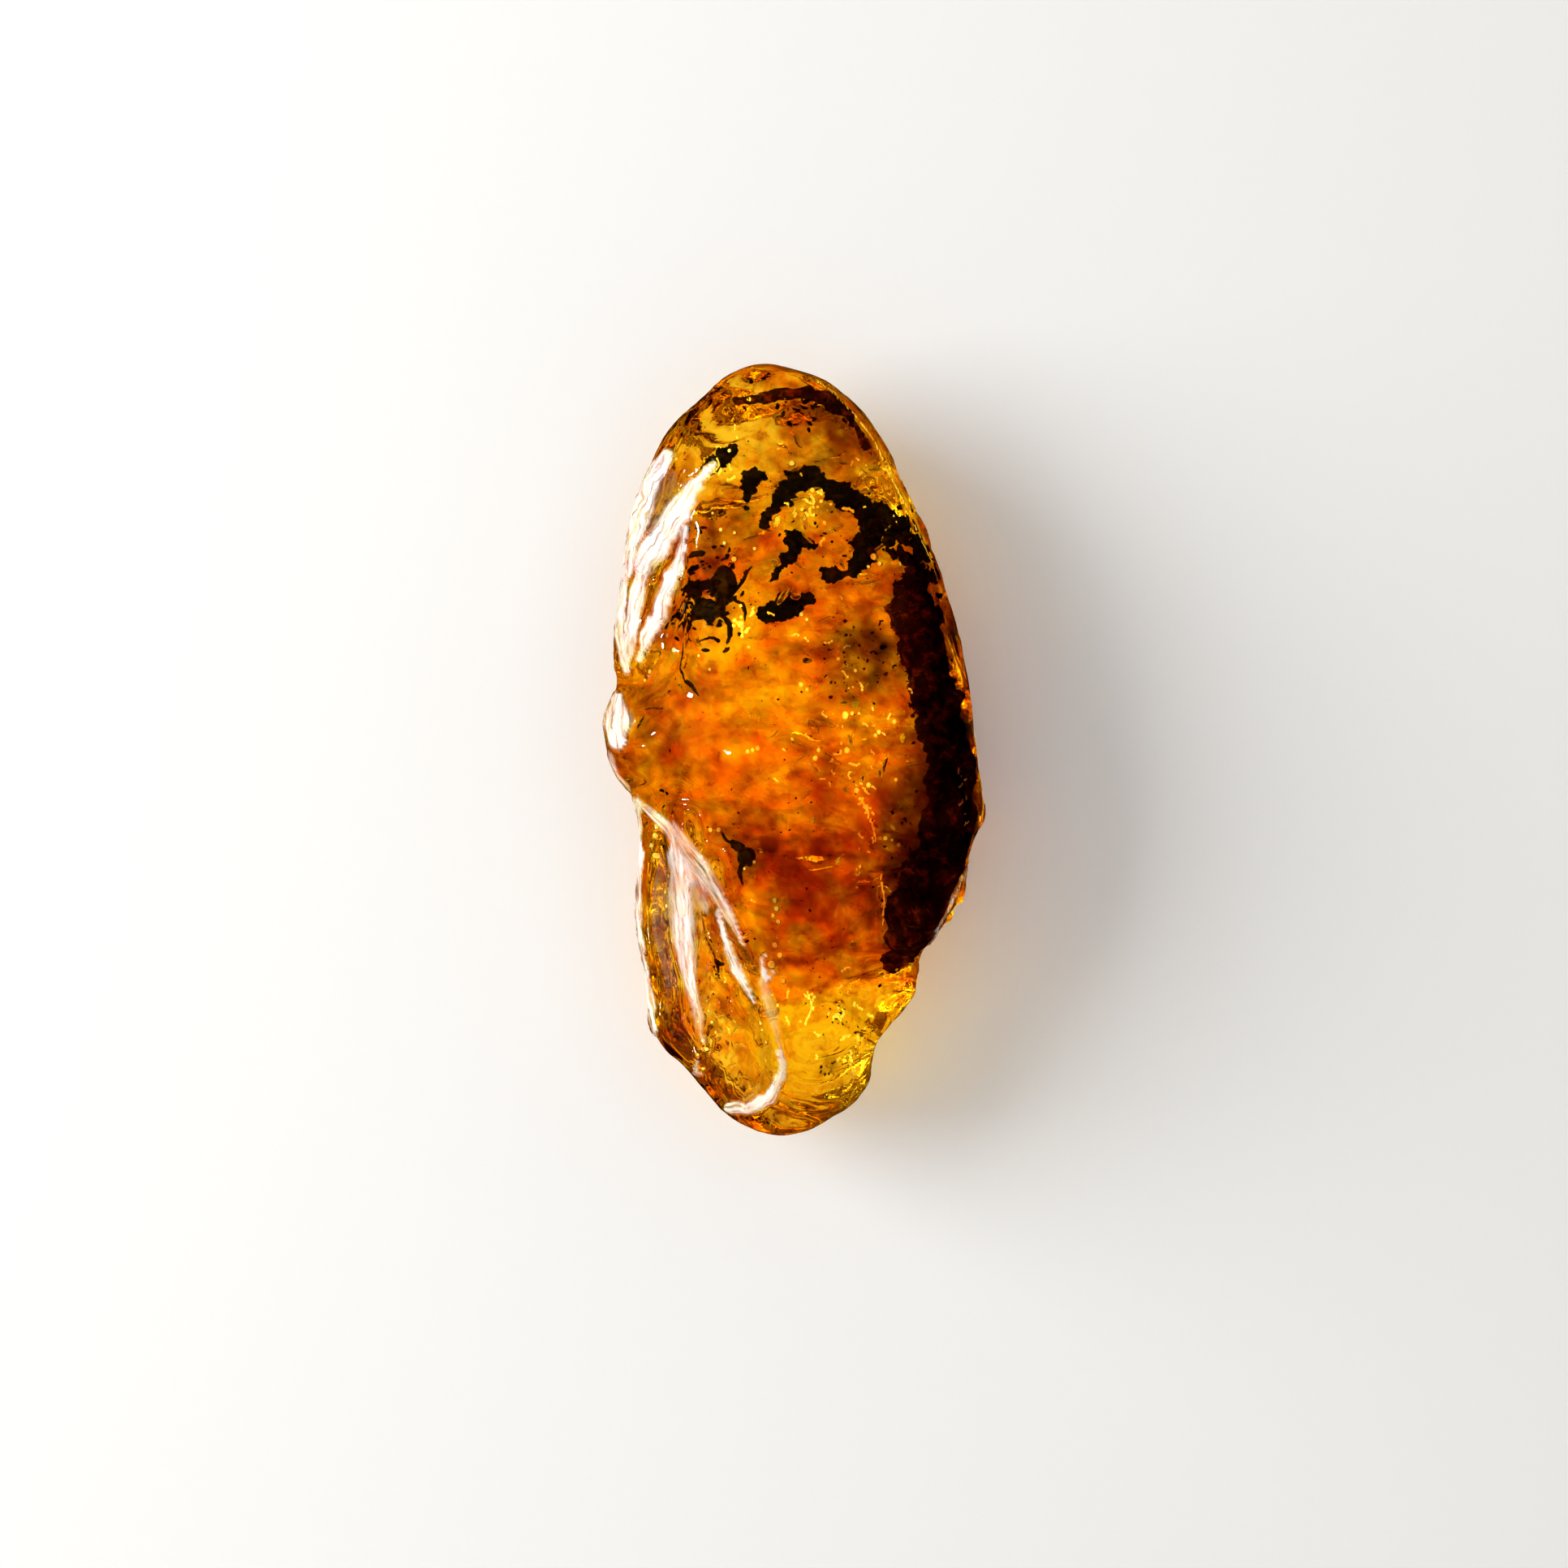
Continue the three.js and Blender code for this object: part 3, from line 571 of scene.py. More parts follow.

# Small soft spots, dark or clear, just under the skin; the clear ones paint a glow, most of them round the
# glints: x, y, reach, added redness, added darkness
SPOTS = [
    (3.4, 6.1, 0.45, 0.5, 2.0), (5.1, 5.9, 0.5, 0.5, 2.0), (4.7, 4.3, 0.5, 0.5, 1.8),
    (3.3, 3.1, 0.4, 0.5, 1.5), (1.9, 5.8, 0.45, 0.5, 1.5), (-1.2, 5.7, 0.3, 0.5, 1.5),
    (1.5, 1.8, 0.5, 0.5, 0.9), (3.6, 1.3, 0.5, 0.4, 0.7), (4.3, 6.8, 0.55, 0.4, 1.3),
    (2.8, 7.0, 0.7, 0.4, 1.0), (2.0, -0.6, 0.35, 0.4, 0.9), (-0.3, -1.2, 0.45, 0.4, 0.9),
    (0.5, 3.7, 0.6, -1.6, -0.7), (1.6, 3.6, 0.3, -1.4, -0.7), (2.9, 2.2, 0.45, -1.8, -0.9),
    (3.8, 2.2, 0.45, -1, -0.5), (4.9, 1.1, 0.35, -1.6, -0.8), (5.8, 1.7, 0.3, -1.6, -0.8),
    (-2.5, 0.0, 0.45, -1.6, -0.8), (3.0, 0.0, 0.45, -1.8, -0.9), (1.2, -0.3, 0.5, -1.6, -0.7),
    (4.3, -2.1, 0.35, -1.6, -0.8), (5.9, -1.8, 0.3, -1.4, -0.8), (3.6, -2.5, 0.4, -1.6, -0.8),
    (-0.3, 1.7, 0.8, -1.1, -0.4), (-4.2, 2.6, 0.8, -1, -0.3), (-3.2, 7.4, 0.6, -2, -1),
    (1.3, 15.2, 0.6, -1.5, -0.8), (0.3, -15.6, 0.7, -1.5, -0.8), (1.9, -16.6, 0.7, -1.5, -0.7),
    (4.6, -17.4, 0.8, -1.5, -0.7), (3.5, -19.6, 0.6, -1.2, -0.6),
]


def zoned(x, y, seed):
    """Redness and darkness of the coloured zones, with uneven edges."""
    space = np.stack([x, y, np.full_like(x, seed)], axis=-1)
    warp_x = noisy(space, (*ZONE_WARP, seed))
    warp_y = noisy(space, (*ZONE_WARP, seed + WARP_SEED_STEP))
    redness = np.full_like(x, BASE_REDNESS)
    darkness = np.full_like(x, BASE_DARKNESS)
    for zone_x, zone_y, reach_x, reach_y, red, dark in ZONES:
        far = ((x + warp_x - zone_x) / reach_x) ** 2 + ((y + warp_y - zone_y) / reach_y) ** 2
        redness += red * np.exp(-far)
        darkness += dark * np.exp(-far)
    return redness, darkness


def stone_tint(points):
    """Colour of the stone's skin, with the stains and mottles that lie close under it, and strokes and spots
    of painted shade, dark reflection and glow.
    """
    x, y, z = points[:, 0], points[:, 1], points[:, 2]
    top = rising(z - widest_level(y), TINT_ABOVE_LEVEL)
    over_red, over_dark = zoned(x, y, TOP_ZONE_SEED)
    under_x = np.minimum(x / UNDER_SCALE[0], UNDER_REACH)
    under_red, under_dark = zoned(under_x, y / UNDER_SCALE[1], UNDER_ZONE_SEED)
    redness = over_red * top + UNDER_WEIGHT * under_red * (1 - top)
    darkness = over_dark * top + UNDER_WEIGHT * under_dark * (1 - top)

    mottle = (UNDER_MOTTLE + (1 - UNDER_MOTTLE) * top) * noisy(points, MOTTLE)
    grain = GRAIN_MIDDLE - creased(points, GRAIN_CELL, GRAIN_LAYERS, GRAIN_SEED)
    blotch = top * noisy(points, BLOTCH)
    spots = np.maximum(noisy(points, DARK_SPOTS) - DARK_SPOT_ONSET, 0)
    redness = redness * (1 + RED_BY["mottled share"] * mottle) + RED_BY["mottle"] * mottle
    redness += RED_BY["grain"] * grain + RED_BY["blotch"] * blotch
    darkness = darkness * (1 + DARK_BY["mottled share"] * mottle) + DARK_BY["spots"] * spots
    darkness += noisy(points, DARK_MIST) + DARK_BY["blotch"] * blotch

    # Strokes: stains, and a painted shade and a painted dark reflection
    wander = noisy(points, STAIN_AND_SHADE_WANDER)
    for along, width, red, dark in STAIN_AND_SHADE_STROKES:
        share = top * line_parts(x + wander, y + wander, along, width)[0]
        redness += red * share
        darkness += dark * share
    # Spots: dark ones, and clear ones that paint a glow, most of them round the glints
    wander_x = noisy(points, SPOT_WANDER_X)
    wander_y = noisy(points, SPOT_WANDER_Y)
    for spot_x, spot_y, reach, red, dark in SPOTS:
        far = ((x + wander_x - spot_x) ** 2 + (y + wander_y - spot_y) ** 2) / reach**2
        redness += red * top * np.exp(-far)
        darkness += dark * top * np.exp(-far)
    tint = np.exp(-np.outer(np.maximum(redness, 0), TINT_RATES) - np.maximum(darkness, 0)[:, None])
    return np.clip(tint * CLEAR_COLOUR, LEAST_TINT, 1)


# Bubbles under the top skin, as (x, y, depth below the skin, radius)
BUBBLES = [
    (-0.2, 17.2, 1.6, 0.2), (-4.4, 13.2, 0.9, 0.14), (-3.6, 11.4, 0.9, 0.2), (-2.4, 12, 1.4, 0.13),
    (-4.2, 12.4, 0.8, 0.12), (-3.9, 18, 1, 0.12), (-7.6, 6.9, 0.5, 0.16), (-7.2, 6, 0.5, 0.2),
    (-8.7, 4.7, 0.5, 0.14), (-9, 4.2, 0.4, 0.12), (-5.6, 5.6, 0.8, 0.12), (-5, 4.8, 0.9, 0.12),
    (0.4, 8, 1.6, 0.15), (0.7, 7.7, 1.6, 0.12), (-5, -4.8, 0.6, 0.16), (-4.5, -4.8, 0.6, 0.18),
    (-8.3, -4.6, 0.5, 0.2), (-8.4, -5.2, 0.5, 0.2), (-8.6, -5.8, 0.5, 0.17), (-8.4, -6.4, 0.5, 0.2),
    (-7.9, -9.5, 0.5, 0.14), (-1.2, -9, 0.5, 0.16), (-1.1, -9.5, 0.5, 0.18), (-1.3, -9.9, 0.5, 0.14),
    (-1.0, -10.3, 0.5, 0.16), (-0.9, -12.3, 0.6, 0.2), (-0.7, -13.9, 0.5, 0.16), (-1.4, -12.9, 0.5, 0.3),
    (-1.2, -11.7, 0.5, 0.2), (4.5, 11.5, 1.8, 0.22), (4.8, 11.1, 1.9, 0.15), (4.2, 10.9, 1.8, 0.12),
    (-4.9, 14.2, 0.7, 0.1), (-7.5, 17.1, 0.4, 0.16), (-7.1, 17.6, 0.4, 0.12), (-7.7, 18.5, 0.4, 0.1),
    (-6.9, 15.7, 0.5, 0.1), (-5.9, 16.1, 0.5, 0.14), (-3.6, 13, 0.8, 0.12), (-9.6, 1.7, 0.4, 0.12),
    (-2.4, -6.7, 0.5, 0.12), (-3, -7.1, 0.5, 0.1), (-5.4, -15.3, 0.35, 0.12), (-5.3, -15.9, 0.35, 0.1),
    (-5.1, -16.6, 0.35, 0.12), (-4.9, -17.2, 0.35, 0.1), (-5.6, -17.7, 0.35, 0.14), (-5.4, -18.2, 0.35, 0.12),
    (-5.9, -18.6, 0.35, 0.12), (-5.6, -19.4, 0.35, 0.12), (-2.3, -15.6, 0.35, 0.12), (-2, -16.5, 0.35, 0.14),
    (-1.9, -16.9, 0.35, 0.1), (-1.7, -17.7, 0.35, 0.12), (-4.6, -15.4, 0.35, 0.14), (-3.8, -15.9, 0.35, 0.12),
]

# The pale cap on the lit side of each bubble, a painted highlight, in shares of the bubble's radius
BUBBLE_HIGHLIGHT_SIZE = (0.75, 0.85, 0.2)
BUBBLE_HIGHLIGHT_SHIFT = (-0.15, 0.15, 0.3)

# Clouds of thin cracks: x, y, spread along x and y, shallowest and deepest below the skin, size, count
CRACK_CLOUDS = [
    (2.8, 2.6, 2.6, 3.4, 1.2, 6, 0.45, 26), (4.8, -7.5, 0.9, 4.5, 1.2, 5, 0.4, 16),
    (1.6, 13.5, 1.8, 2.4, 2, 6, 0.45, 12), (2.6, -17.5, 2.6, 3.2, 1.2, 5, 0.4, 6),
    (-3.8, -16, 1.4, 3, 0.6, 3, 0.4, 26), (4.5, 16.5, 2, 3, 1.5, 5, 0.4, 12),
]
CRACK_SEED = 7
CRACK_LENGTHS = (0.4, 1.5)
CRACK_WIDTHS = (0.2, 0.6)
CRACK_TILT = 1.2
CRACK_THICKNESS = 0.025
CRACK_TWIST = 0.5
CRACK_BEND = 0.4

# Clouds of dark crumbs, in the same form
CRUMB_CLOUDS = [
    (3.9, 5.2, 1.5, 1.3, 2, 5, 0.09, 50), (4.4, 6, 1, 0.8, 2.5, 5, 0.17, 7),
    (5.6, 12.6, 1.1, 0.9, 2.6, 4.5, 0.34, 46), (7.3, 11.6, 0.6, 1.5, 2.2, 4, 0.4, 40),
    (-5, 10, 1.3, 1.9, 1.8, 4.5, 0.16, 110), (-5.6, 8.2, 0.9, 0.7, 2, 4, 0.26, 26),
    (2.4, -15.8, 0.6, 0.4, 1.5, 3.5, 0.09, 14), (4, -17, 0.5, 0.3, 1.5, 3.5, 0.1, 12),
    (2.0, -19.2, 0.5, 0.4, 1.2, 3, 0.07, 24), (7.1, 1.5, 0.7, 7, 2.2, 6, 0.1, 50),
    (5.9, -9, 0.7, 3.4, 2, 6, 0.11, 40), (-2.5, -4, 2.4, 3, 1.5, 6, 0.07, 50),
    (0, 10, 5, 6, 2, 8, 0.06, 120), (0, -9, 4, 6, 2, 8, 0.06, 70),
    (-5.6, 19.4, 1.6, 1.6, 1.5, 5, 0.07, 40), (-4.6, -12.5, 0.8, 3, 0.6, 2.4, 0.09, 40),
    (-7.9, -6.5, 0.4, 2.4, 0.5, 1.5, 0.11, 20), (2.4, 12.4, 1.6, 1.4, 3, 6, 0.1, 60),
    (1.2, 20.4, 2, 0.6, 1.5, 3, 0.14, 60),
]
CRUMB_SEED = 17
CRUMB_SIZES = (0.4, 1.5)
CRUMB_ROUGHNESS = (0.65, 1.3)
CRUMB_WIDTHS = (0.4, 1)
CRUMB_THICKNESSES = (0.3, 0.7)

# Chains of golden specks, which glow as painted glints, in the same form; the step is how far apart they lie,
# in speck sizes
SPECK_CLOUDS = [
    (2.2, 1.5, 2, 3, 0.8, 2.5, 0.055, 36), (-3.3, 7.6, 0.3, 0.5, 0.8, 1.6, 0.09, 6),
    (4.1, -4, 0.4, 2.8, 0.8, 2.5, 0.06, 24), (0.9, 14.2, 0.9, 1.1, 0.8, 2.2, 0.07, 18),
    (2.2, -16.2, 1.8, 1.8, 0.7, 2.5, 0.07, 26), (-3.9, -15.5, 0.9, 2.4, 0.4, 1.2, 0.06, 26),
    (4.2, 17, 0.9, 1.2, 0.8, 2.5, 0.05, 9), (6.5, 17.2, 0.4, 1.6, 0.5, 1.2, 0.05, 8),
    (-4.7, 16.6, 0.4, 0.4, 0.7, 1.6, 0.08, 5), (-3, 19.5, 2, 1.2, 0.8, 2.5, 0.045, 12),
    (10.2, 6, 0.2, 4, 0.4, 1, 0.05, 10),
]
SPECK_SEED = 27
SPECK_STEP = 1.7
SPECK_SIZES = (0.5, 1.4)
SPECK_ROUGHNESS = (0.8, 1.15)
SPECK_FORM = (1, 1.2, 0.7)
LONGEST_CHAIN = 6
CHAIN_TURN = 0.9

# Brighter single specks, painted glints that glow, as (x, y, radius)
GLINTS = [
    (2.9, 2.1, 0.2), (3.3, 2.2, 0.1), (3.7, 2.2, 0.08), (0.35, 3.9, 0.14), (0.7, 3.6, 0.1),
    (4.9, 1.1, 0.12), (4.7, 0.9, 0.1), (5.8, 1.7, 0.12), (-2.8, -0.1, 0.12), (-2.5, 0, 0.1),
    (-2.2, 0.1, 0.13), (3, 0, 0.15), (1.15, -0.5, 0.14), (1.35, 0, 0.12), (4.3, -2.1, 0.13),
    (3.6, -2.4, 0.15), (5.9, -1.8, 0.11), (2.5, 5.4, 0.1), (3.5, 4.7, 0.1), (-3.2, 7.5, 0.2),
    (-3.6, 7.4, 0.12), (-3.2, 8.6, 0.1), (-2.7, 6.1, 0.1), (5.3, -5.2, 0.12), (6.1, -5.6, 0.13),
    (5.7, -5.3, 0.08), (3.8, -2.9, 0.1), (1.0, 15.6, 0.12), (1.5, 14.9, 0.1), (0.4, 14.4, 0.1),
]
GLINT_DEPTH = 1.1
GLINT_ROUGHNESS = (0.85, 1.15)
GLINT_FORM = (1, 1.15, 0.7)

# Broken golden seams of specks with a painted glow, as lines from above
THREADS = [
    [(1.2, 22.4), (2.3, 21.6), (3.5, 20.4), (4.7, 18.8), (5.5, 17), (6.3, 15.4), (6.9, 14.4)],
    [(7.2, 13.6), (8.3, 11.2), (8.7, 9.9)], [(4.1, -3.2), (4.5, -4.2), (4.8, -5.4)],
    [(5.1, -7.5), (5.3, -9), (5.2, -10.4)], [(0.7, -14.6), (1, -15.6), (0.5, -16.6)],
]
THREAD_DEPTH = 0.5
THREAD_STEP = 0.17
THREAD_SHAKE = 0.025
THREAD_SHARE = 0.85
THREAD_WIDTHS = (0.03, 0.08)
THREAD_GRAIN = (0.13, 0.05)

# Clear stone kept beside, under and at the ends of what is sealed in it
SIDE_MARGIN = 1.4
UNDER_MARGIN = 1.2
END_MARGIN = 1.5

# How a section through the nugget is surveyed: points over and under it, and the share left out
OVER_POINTS = 120
UNDER_POINTS = 60
SURVEY_EDGE = 0.002


def heights(x, y):
    """Heights of the smooth underside and top at a point, in millimetres."""
    along = np.arccos(np.clip(y / HALF_LENGTH, -1, 1))
    over = np.linspace(SURVEY_EDGE, TOP_SHARE - SURVEY_EDGE, OVER_POINTS)
    under = np.linspace(1 - SURVEY_EDGE, TOP_SHARE + SURVEY_EDGE, UNDER_POINTS)
    top, _ = nugget_form(np.full_like(over, along), over)
    bottom, _ = nugget_form(np.full_like(under, along), under)
    return float(np.interp(x, bottom[:, 0], bottom[:, 2])), float(np.interp(x, top[:, 0], top[:, 2]))


def inside_place(random, x, y, spread_x, spread_y, shallow, deep):
    """A place in a cloud, under the top skin and clear of the stone's sides and underside."""
    while True:
        at_x = random.normal(x, spread_x)
        at_y = random.normal(y, spread_y)
        depth = random.uniform(shallow, deep)
        if abs(at_y) > HALF_LENGTH - END_MARGIN:
            continue
        along = math.acos(at_y / HALF_LENGTH)
        if not left_side(along) + SIDE_MARGIN < at_x < right_side(along) - SIDE_MARGIN:
            continue
        bottom, top = heights(at_x, at_y)
        if top - bottom > shallow + UNDER_MARGIN:
            return Vector((at_x, at_y, max(top - depth, bottom + UNDER_MARGIN)))


def cloud_places(random, clouds):
    """Each place in the clouds, with the usual size of what lies there."""
    for *cloud, size, count in clouds:
        for _ in range(count):
            yield np.array(inside_place(random, *cloud)), size


def ball(detail):
    """Points and faces of a unit ball."""
    bm = bmesh.new()
    bmesh.ops.create_icosphere(bm, subdivisions=detail, radius=1)
    points = np.array([vert.co for vert in bm.verts])
    faces = np.array([[vert.index for vert in face.verts] for face in bm.faces])
    bm.free()
    return points, faces


def joined(parts):
    """Points and faces of many small meshes, put together."""
    points, faces, start = [], [], 0
    for part_points, part_faces in parts:
        points.append(part_points)
        faces.append(part_faces + start)
        start += len(part_points)
    return np.concatenate(points), np.concatenate(faces)


def bubble_parts():
    """Round hollows, whose faces look into them, so the stone stays solid round them."""
    points, faces = ball(3)
    for x, y, depth, radius in BUBBLES:
        yield points * radius + (x, y, heights(x, y)[1] - depth - radius), faces[:, ::-1]


def crack_parts():
    """Thin curved air films, which flash gold where they face the light."""
    random = np.random.default_rng(CRACK_SEED)
    points, faces = ball(2)
    for place, size in cloud_places(random, CRACK_CLOUDS):
        long = size * random.uniform(*CRACK_LENGTHS)
        wide = size * random.uniform(*CRACK_WIDTHS)
        tilt_x = random.uniform(-CRACK_TILT, CRACK_TILT)
        tilt_y = random.uniform(-CRACK_TILT, CRACK_TILT)
        turn = Euler((tilt_x, tilt_y, random.uniform(0, math.pi))).to_matrix()
        twist = random.uniform(-CRACK_TWIST, CRACK_TWIST)
        bend = random.uniform(-CRACK_BEND, CRACK_BEND)
        film = points * (wide, long, CRACK_THICKNESS)
        film[:, 2] += twist * film[:, 0] * film[:, 1] + bend * film[:, 1] ** 2
        yield film @ np.array(turn).T + place, faces[:, ::-1]


def vertex_places(mesh):
    place = np.empty(len(mesh.vertices) * 3)
    mesh.vertices.foreach_get("co", place)
    return place.reshape(-1, 3) / MM


def amber_piece():
    skin, far, near = nugget_skin()
    skin = np.concatenate([[far], skin.reshape(-1, 3), [near]])
    hollows, hollow_faces = joined([*bubble_parts(), *crack_parts()])
    faces = ring_faces(RINGS - 1, SIDES) + (hollow_faces + len(skin)).tolist()
    piece = new_piece("amber", np.concatenate([skin, hollows]), faces, "amber")
    count = len(skin) + len(hollows)
    # Share of the painted highlight strokes on the skin, and places of their fine lines
    highlight_stroke_share, lines = np.zeros(count), np.zeros((count, 3))
    highlight_stroke_share[:len(skin)], lines[:len(skin)] = highlight_stroke_parts(skin)
    piece.data.attributes.new("highlight_stroke_share", "FLOAT", "POINT").data.foreach_set("value", highlight_stroke_share)
    piece.data.attributes.new("lines", "FLOAT_VECTOR", "POINT").data.foreach_set("vector", lines.ravel())
    tint = np.ones((count, 4))
    tint[:len(skin), :3] = stone_tint(skin)
    piece.data.color_attributes.new("tint", "FLOAT_COLOR", "POINT").data.foreach_set("color", tint.ravel())
    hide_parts("amber_lower", "amber_upper")
    return piece


# Torn pieces: solid, slot, remesh size, depth of the tear, width of its lumps, seed, swelling, stretch
TORN = [
    ("bark_strip", "bark", 0.085, 0.5, 1.0, 201, 0.3, 1),
    ("debris_web", "debris", 0.06, 0.5, 0.6, 202, 0.3, 1),
    ("debris_knot", "debris", 0.05, 0.36, 0.45, 203, 0.3, 1),
    ("black_flake", "debris", 0.05, 0.3, 0.5, 204, 0.3, 1),
    ("top_sliver", "bark", 0.045, 0.28, 0.4, 205, -0.3, 4),
    ("side_crumb", "debris", 0.05, 0.3, 0.4, 206, 0.3, 1),
    ("middle_crumb", "debris", 0.05, 0.3, 0.4, 207, 0.3, 1),
    ("slit_sliver", "bark", 0.04, 0.06, 0.3, 208, 0.3, 1),
]
TORN_GRAIN = 0.35
TORN_GRAIN_CELL = 1 / 3
TORN_GRAIN_SEED = 9
TORN_UPRIGHT = 0.6


def ragged(node, slot, voxel, rough, cell, seed, swell, stretch):
    """The form of a sealed solid with the torn, crumbly surface that the real thing has."""
    name = node + "_torn"
    source = bpy.data.objects.new(name + "_form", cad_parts[node].data.copy())
    bpy.context.scene.collection.objects.link(source)
    remesh = source.modifiers.new("even", "REMESH")
    remesh.mode = "VOXEL"
    remesh.voxel_size = voxel * MM
    mesh = bpy.data.meshes.new_from_object(source.evaluated_get(bpy.context.evaluated_depsgraph_get()))
    bpy.data.objects.remove(source)
    mesh.name = name
    place = vertex_places(mesh)
    normal = np.empty(len(mesh.vertices) * 3)
    mesh.vertex_normals.foreach_get("vector", normal)
    space = place * (1 / stretch, 1, 1)
    lift = rough * (swell + cloudy(space, cell, 3, seed))
    lift += TORN_GRAIN * rough * creased(space, cell * TORN_GRAIN_CELL, 2, seed + TORN_GRAIN_SEED)
    place = place + normal.reshape(-1, 3) * (1, 1, TORN_UPRIGHT) * lift[:, None]
    mesh.vertices.foreach_set("co", (place * MM).ravel())
    piece = smooth_piece(name, mesh, slot)
    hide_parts(node)
    return piece


def crumb_parts():
    """Flat irregular grains, turned every way."""
    random = np.random.default_rng(CRUMB_SEED)
    points, faces = ball(2)
    for place, usual_size in cloud_places(random, CRUMB_CLOUDS):
        size = usual_size * random.uniform(*CRUMB_SIZES)
        turn = Euler(random.uniform(0, math.pi, 3)).to_matrix()
        lump = points * random.uniform(*CRUMB_ROUGHNESS, (len(points), 1))
        wide = size * random.uniform(*CRUMB_WIDTHS)
        thick = size * random.uniform(*CRUMB_THICKNESSES)
        yield lump * (size, wide, thick) @ np.array(turn).T + place, faces


def thread_places(random):
    """Places close together along the golden seams, with a gap here and there."""
    for thread in THREADS:
        for (x0, y0), (x1, y1) in zip(thread[:-1], thread[1:]):
            for t in np.arange(0, 1, THREAD_STEP / math.hypot(x1 - x0, y1 - y0)):
                x = x0 + t * (x1 - x0) + random.normal(0, THREAD_SHAKE)
                y = y0 + t * (y1 - y0)
                if random.uniform() < THREAD_SHARE:
                    yield x, y, heights(x, y)[1] - THREAD_DEPTH


def glint_parts(random, points, faces):
    """The brighter single specks: painted glints."""
    for x, y, radius in GLINTS:
        lump = points * random.uniform(*GLINT_ROUGHNESS, (len(points), 1))
        yield lump * radius * GLINT_FORM + (x, y, heights(x, y)[1] - GLINT_DEPTH), faces


def chain_parts(random, points, faces):
    """Short crooked chains of small round specks: painted glints."""
    for place, usual_size in cloud_places(random, SPECK_CLOUDS):
        heading = random.uniform(0, 2 * math.pi)
        for _ in range(random.integers(1, LONGEST_CHAIN + 1)):
            size = usual_size * random.uniform(*SPECK_SIZES)
            lump = points * random.uniform(*SPECK_ROUGHNESS, (len(points), 1))
            yield lump * size * SPECK_FORM + place, faces
            heading += random.uniform(-CHAIN_TURN, CHAIN_TURN)
            place = place + SPECK_STEP * size * np.array([math.cos(heading), math.sin(heading), 0])


def speck_parts():
    """Glints, seams and chains, all drawn from one run of random numbers."""
    random = np.random.default_rng(SPECK_SEED)
    points, faces = ball(2)
    yield from glint_parts(random, points, faces)
    for place in thread_places(random):
        yield points * (random.uniform(*THREAD_WIDTHS), *THREAD_GRAIN) + place, faces
    yield from chain_parts(random, points, faces)


def bubble_highlight_parts():
    """The painted highlights of the bubbles: pale flecks just under the skin, on the lit side of each."""
    points, faces = ball(2)
    for x, y, depth, radius in BUBBLES:
        place = np.array([x, y, heights(x, y)[1] - depth]) + radius * np.array(BUBBLE_HIGHLIGHT_SHIFT)
        yield points * radius * BUBBLE_HIGHLIGHT_SIZE + place, faces


def strewn_piece(name, parts, slot):
    """Many small meshes, sealed in the stone as one piece."""
    points, faces = joined(parts)
    return new_piece(name, points, faces.tolist(), slot)


def shader(name):
    material = bpy.data.materials.new(name)
    material.use_nodes = True
    return material, material.node_tree, material.node_tree.nodes["Principled BSDF"]


def noise(tree, scale, detail=4, rough=0.6, distortion=0.0):
    """Noise in object space; a scale of 1000 gives lumps of about a millimetre."""
    place = tree.nodes.new("ShaderNodeTexCoord")
    texture = tree.nodes.new("ShaderNodeTexNoise")
    texture.inputs["Scale"].default_value = scale
    texture.inputs["Detail"].default_value = detail
    texture.inputs["Roughness"].default_value = rough
    texture.inputs["Distortion"].default_value = distortion
    tree.links.new(place.outputs["Object"], texture.inputs["Vector"])
    return texture.outputs["Fac"]


def ramp(tree, value, stops):
    """Colours along a value, from a list of (place, colour)."""
    node = tree.nodes.new("ShaderNodeValToRGB")
    marks = node.color_ramp.elements
    while len(marks) < len(stops):
        marks.new(0.5)
    for mark, (place, colour) in zip(marks, stops):
        mark.position = place
        mark.color = (*colour, 1)
    tree.links.new(value, node.inputs["Fac"])
    return node.outputs["Color"]


def bumpy(tree, surface, value, distance):
    bump = tree.nodes.new("ShaderNodeBump")
    bump.inputs["Distance"].default_value = distance * MM
    tree.links.new(value, bump.inputs["Height"])
    tree.links.new(bump.outputs["Normal"], surface.inputs["Normal"])


def multiplied(tree, first, second):
    mix = tree.nodes.new("ShaderNodeMix")
    mix.data_type = "RGBA"
    mix.blend_type = "MULTIPLY"
    mix.inputs["Factor"].default_value = 1.0
    tree.links.new(first, mix.inputs["A"])
    tree.links.new(second, mix.inputs["B"])
    return mix.outputs["Result"]


def ranged(tree, value, low, high):
    node = tree.nodes.new("ShaderNodeMapRange")
    node.inputs["To Min"].default_value = low
    node.inputs["To Max"].default_value = high
    tree.links.new(value, node.inputs["Value"])
    return node.outputs["Result"]


def attribute(tree, name, kind):
    node = tree.nodes.new("ShaderNodeAttribute")
    node.attribute_name = name
    return node.outputs[kind]


# Looks of the clear stone: its own, and how far a highlight stroke takes it from clear towards rough, dull
# and whitish, the whitish colour being a painted highlight
AMBER_IOR = 1.54
AMBER_ABSORPTION = (0.99, 0.84, 0.02, 1)
AMBER_ABSORPTION_DENSITY = 130.0
SPECKLE_STOPS = [(0.3, (0.3, 0.1, 0.02)), (0.41, (0.85, 0.58, 0.25)), (0.5, (1, 1, 1))]
FIBRE_STOPS = [(0.3, (0.3, 0.3, 0.3)), (0.55, (1, 1, 1))]
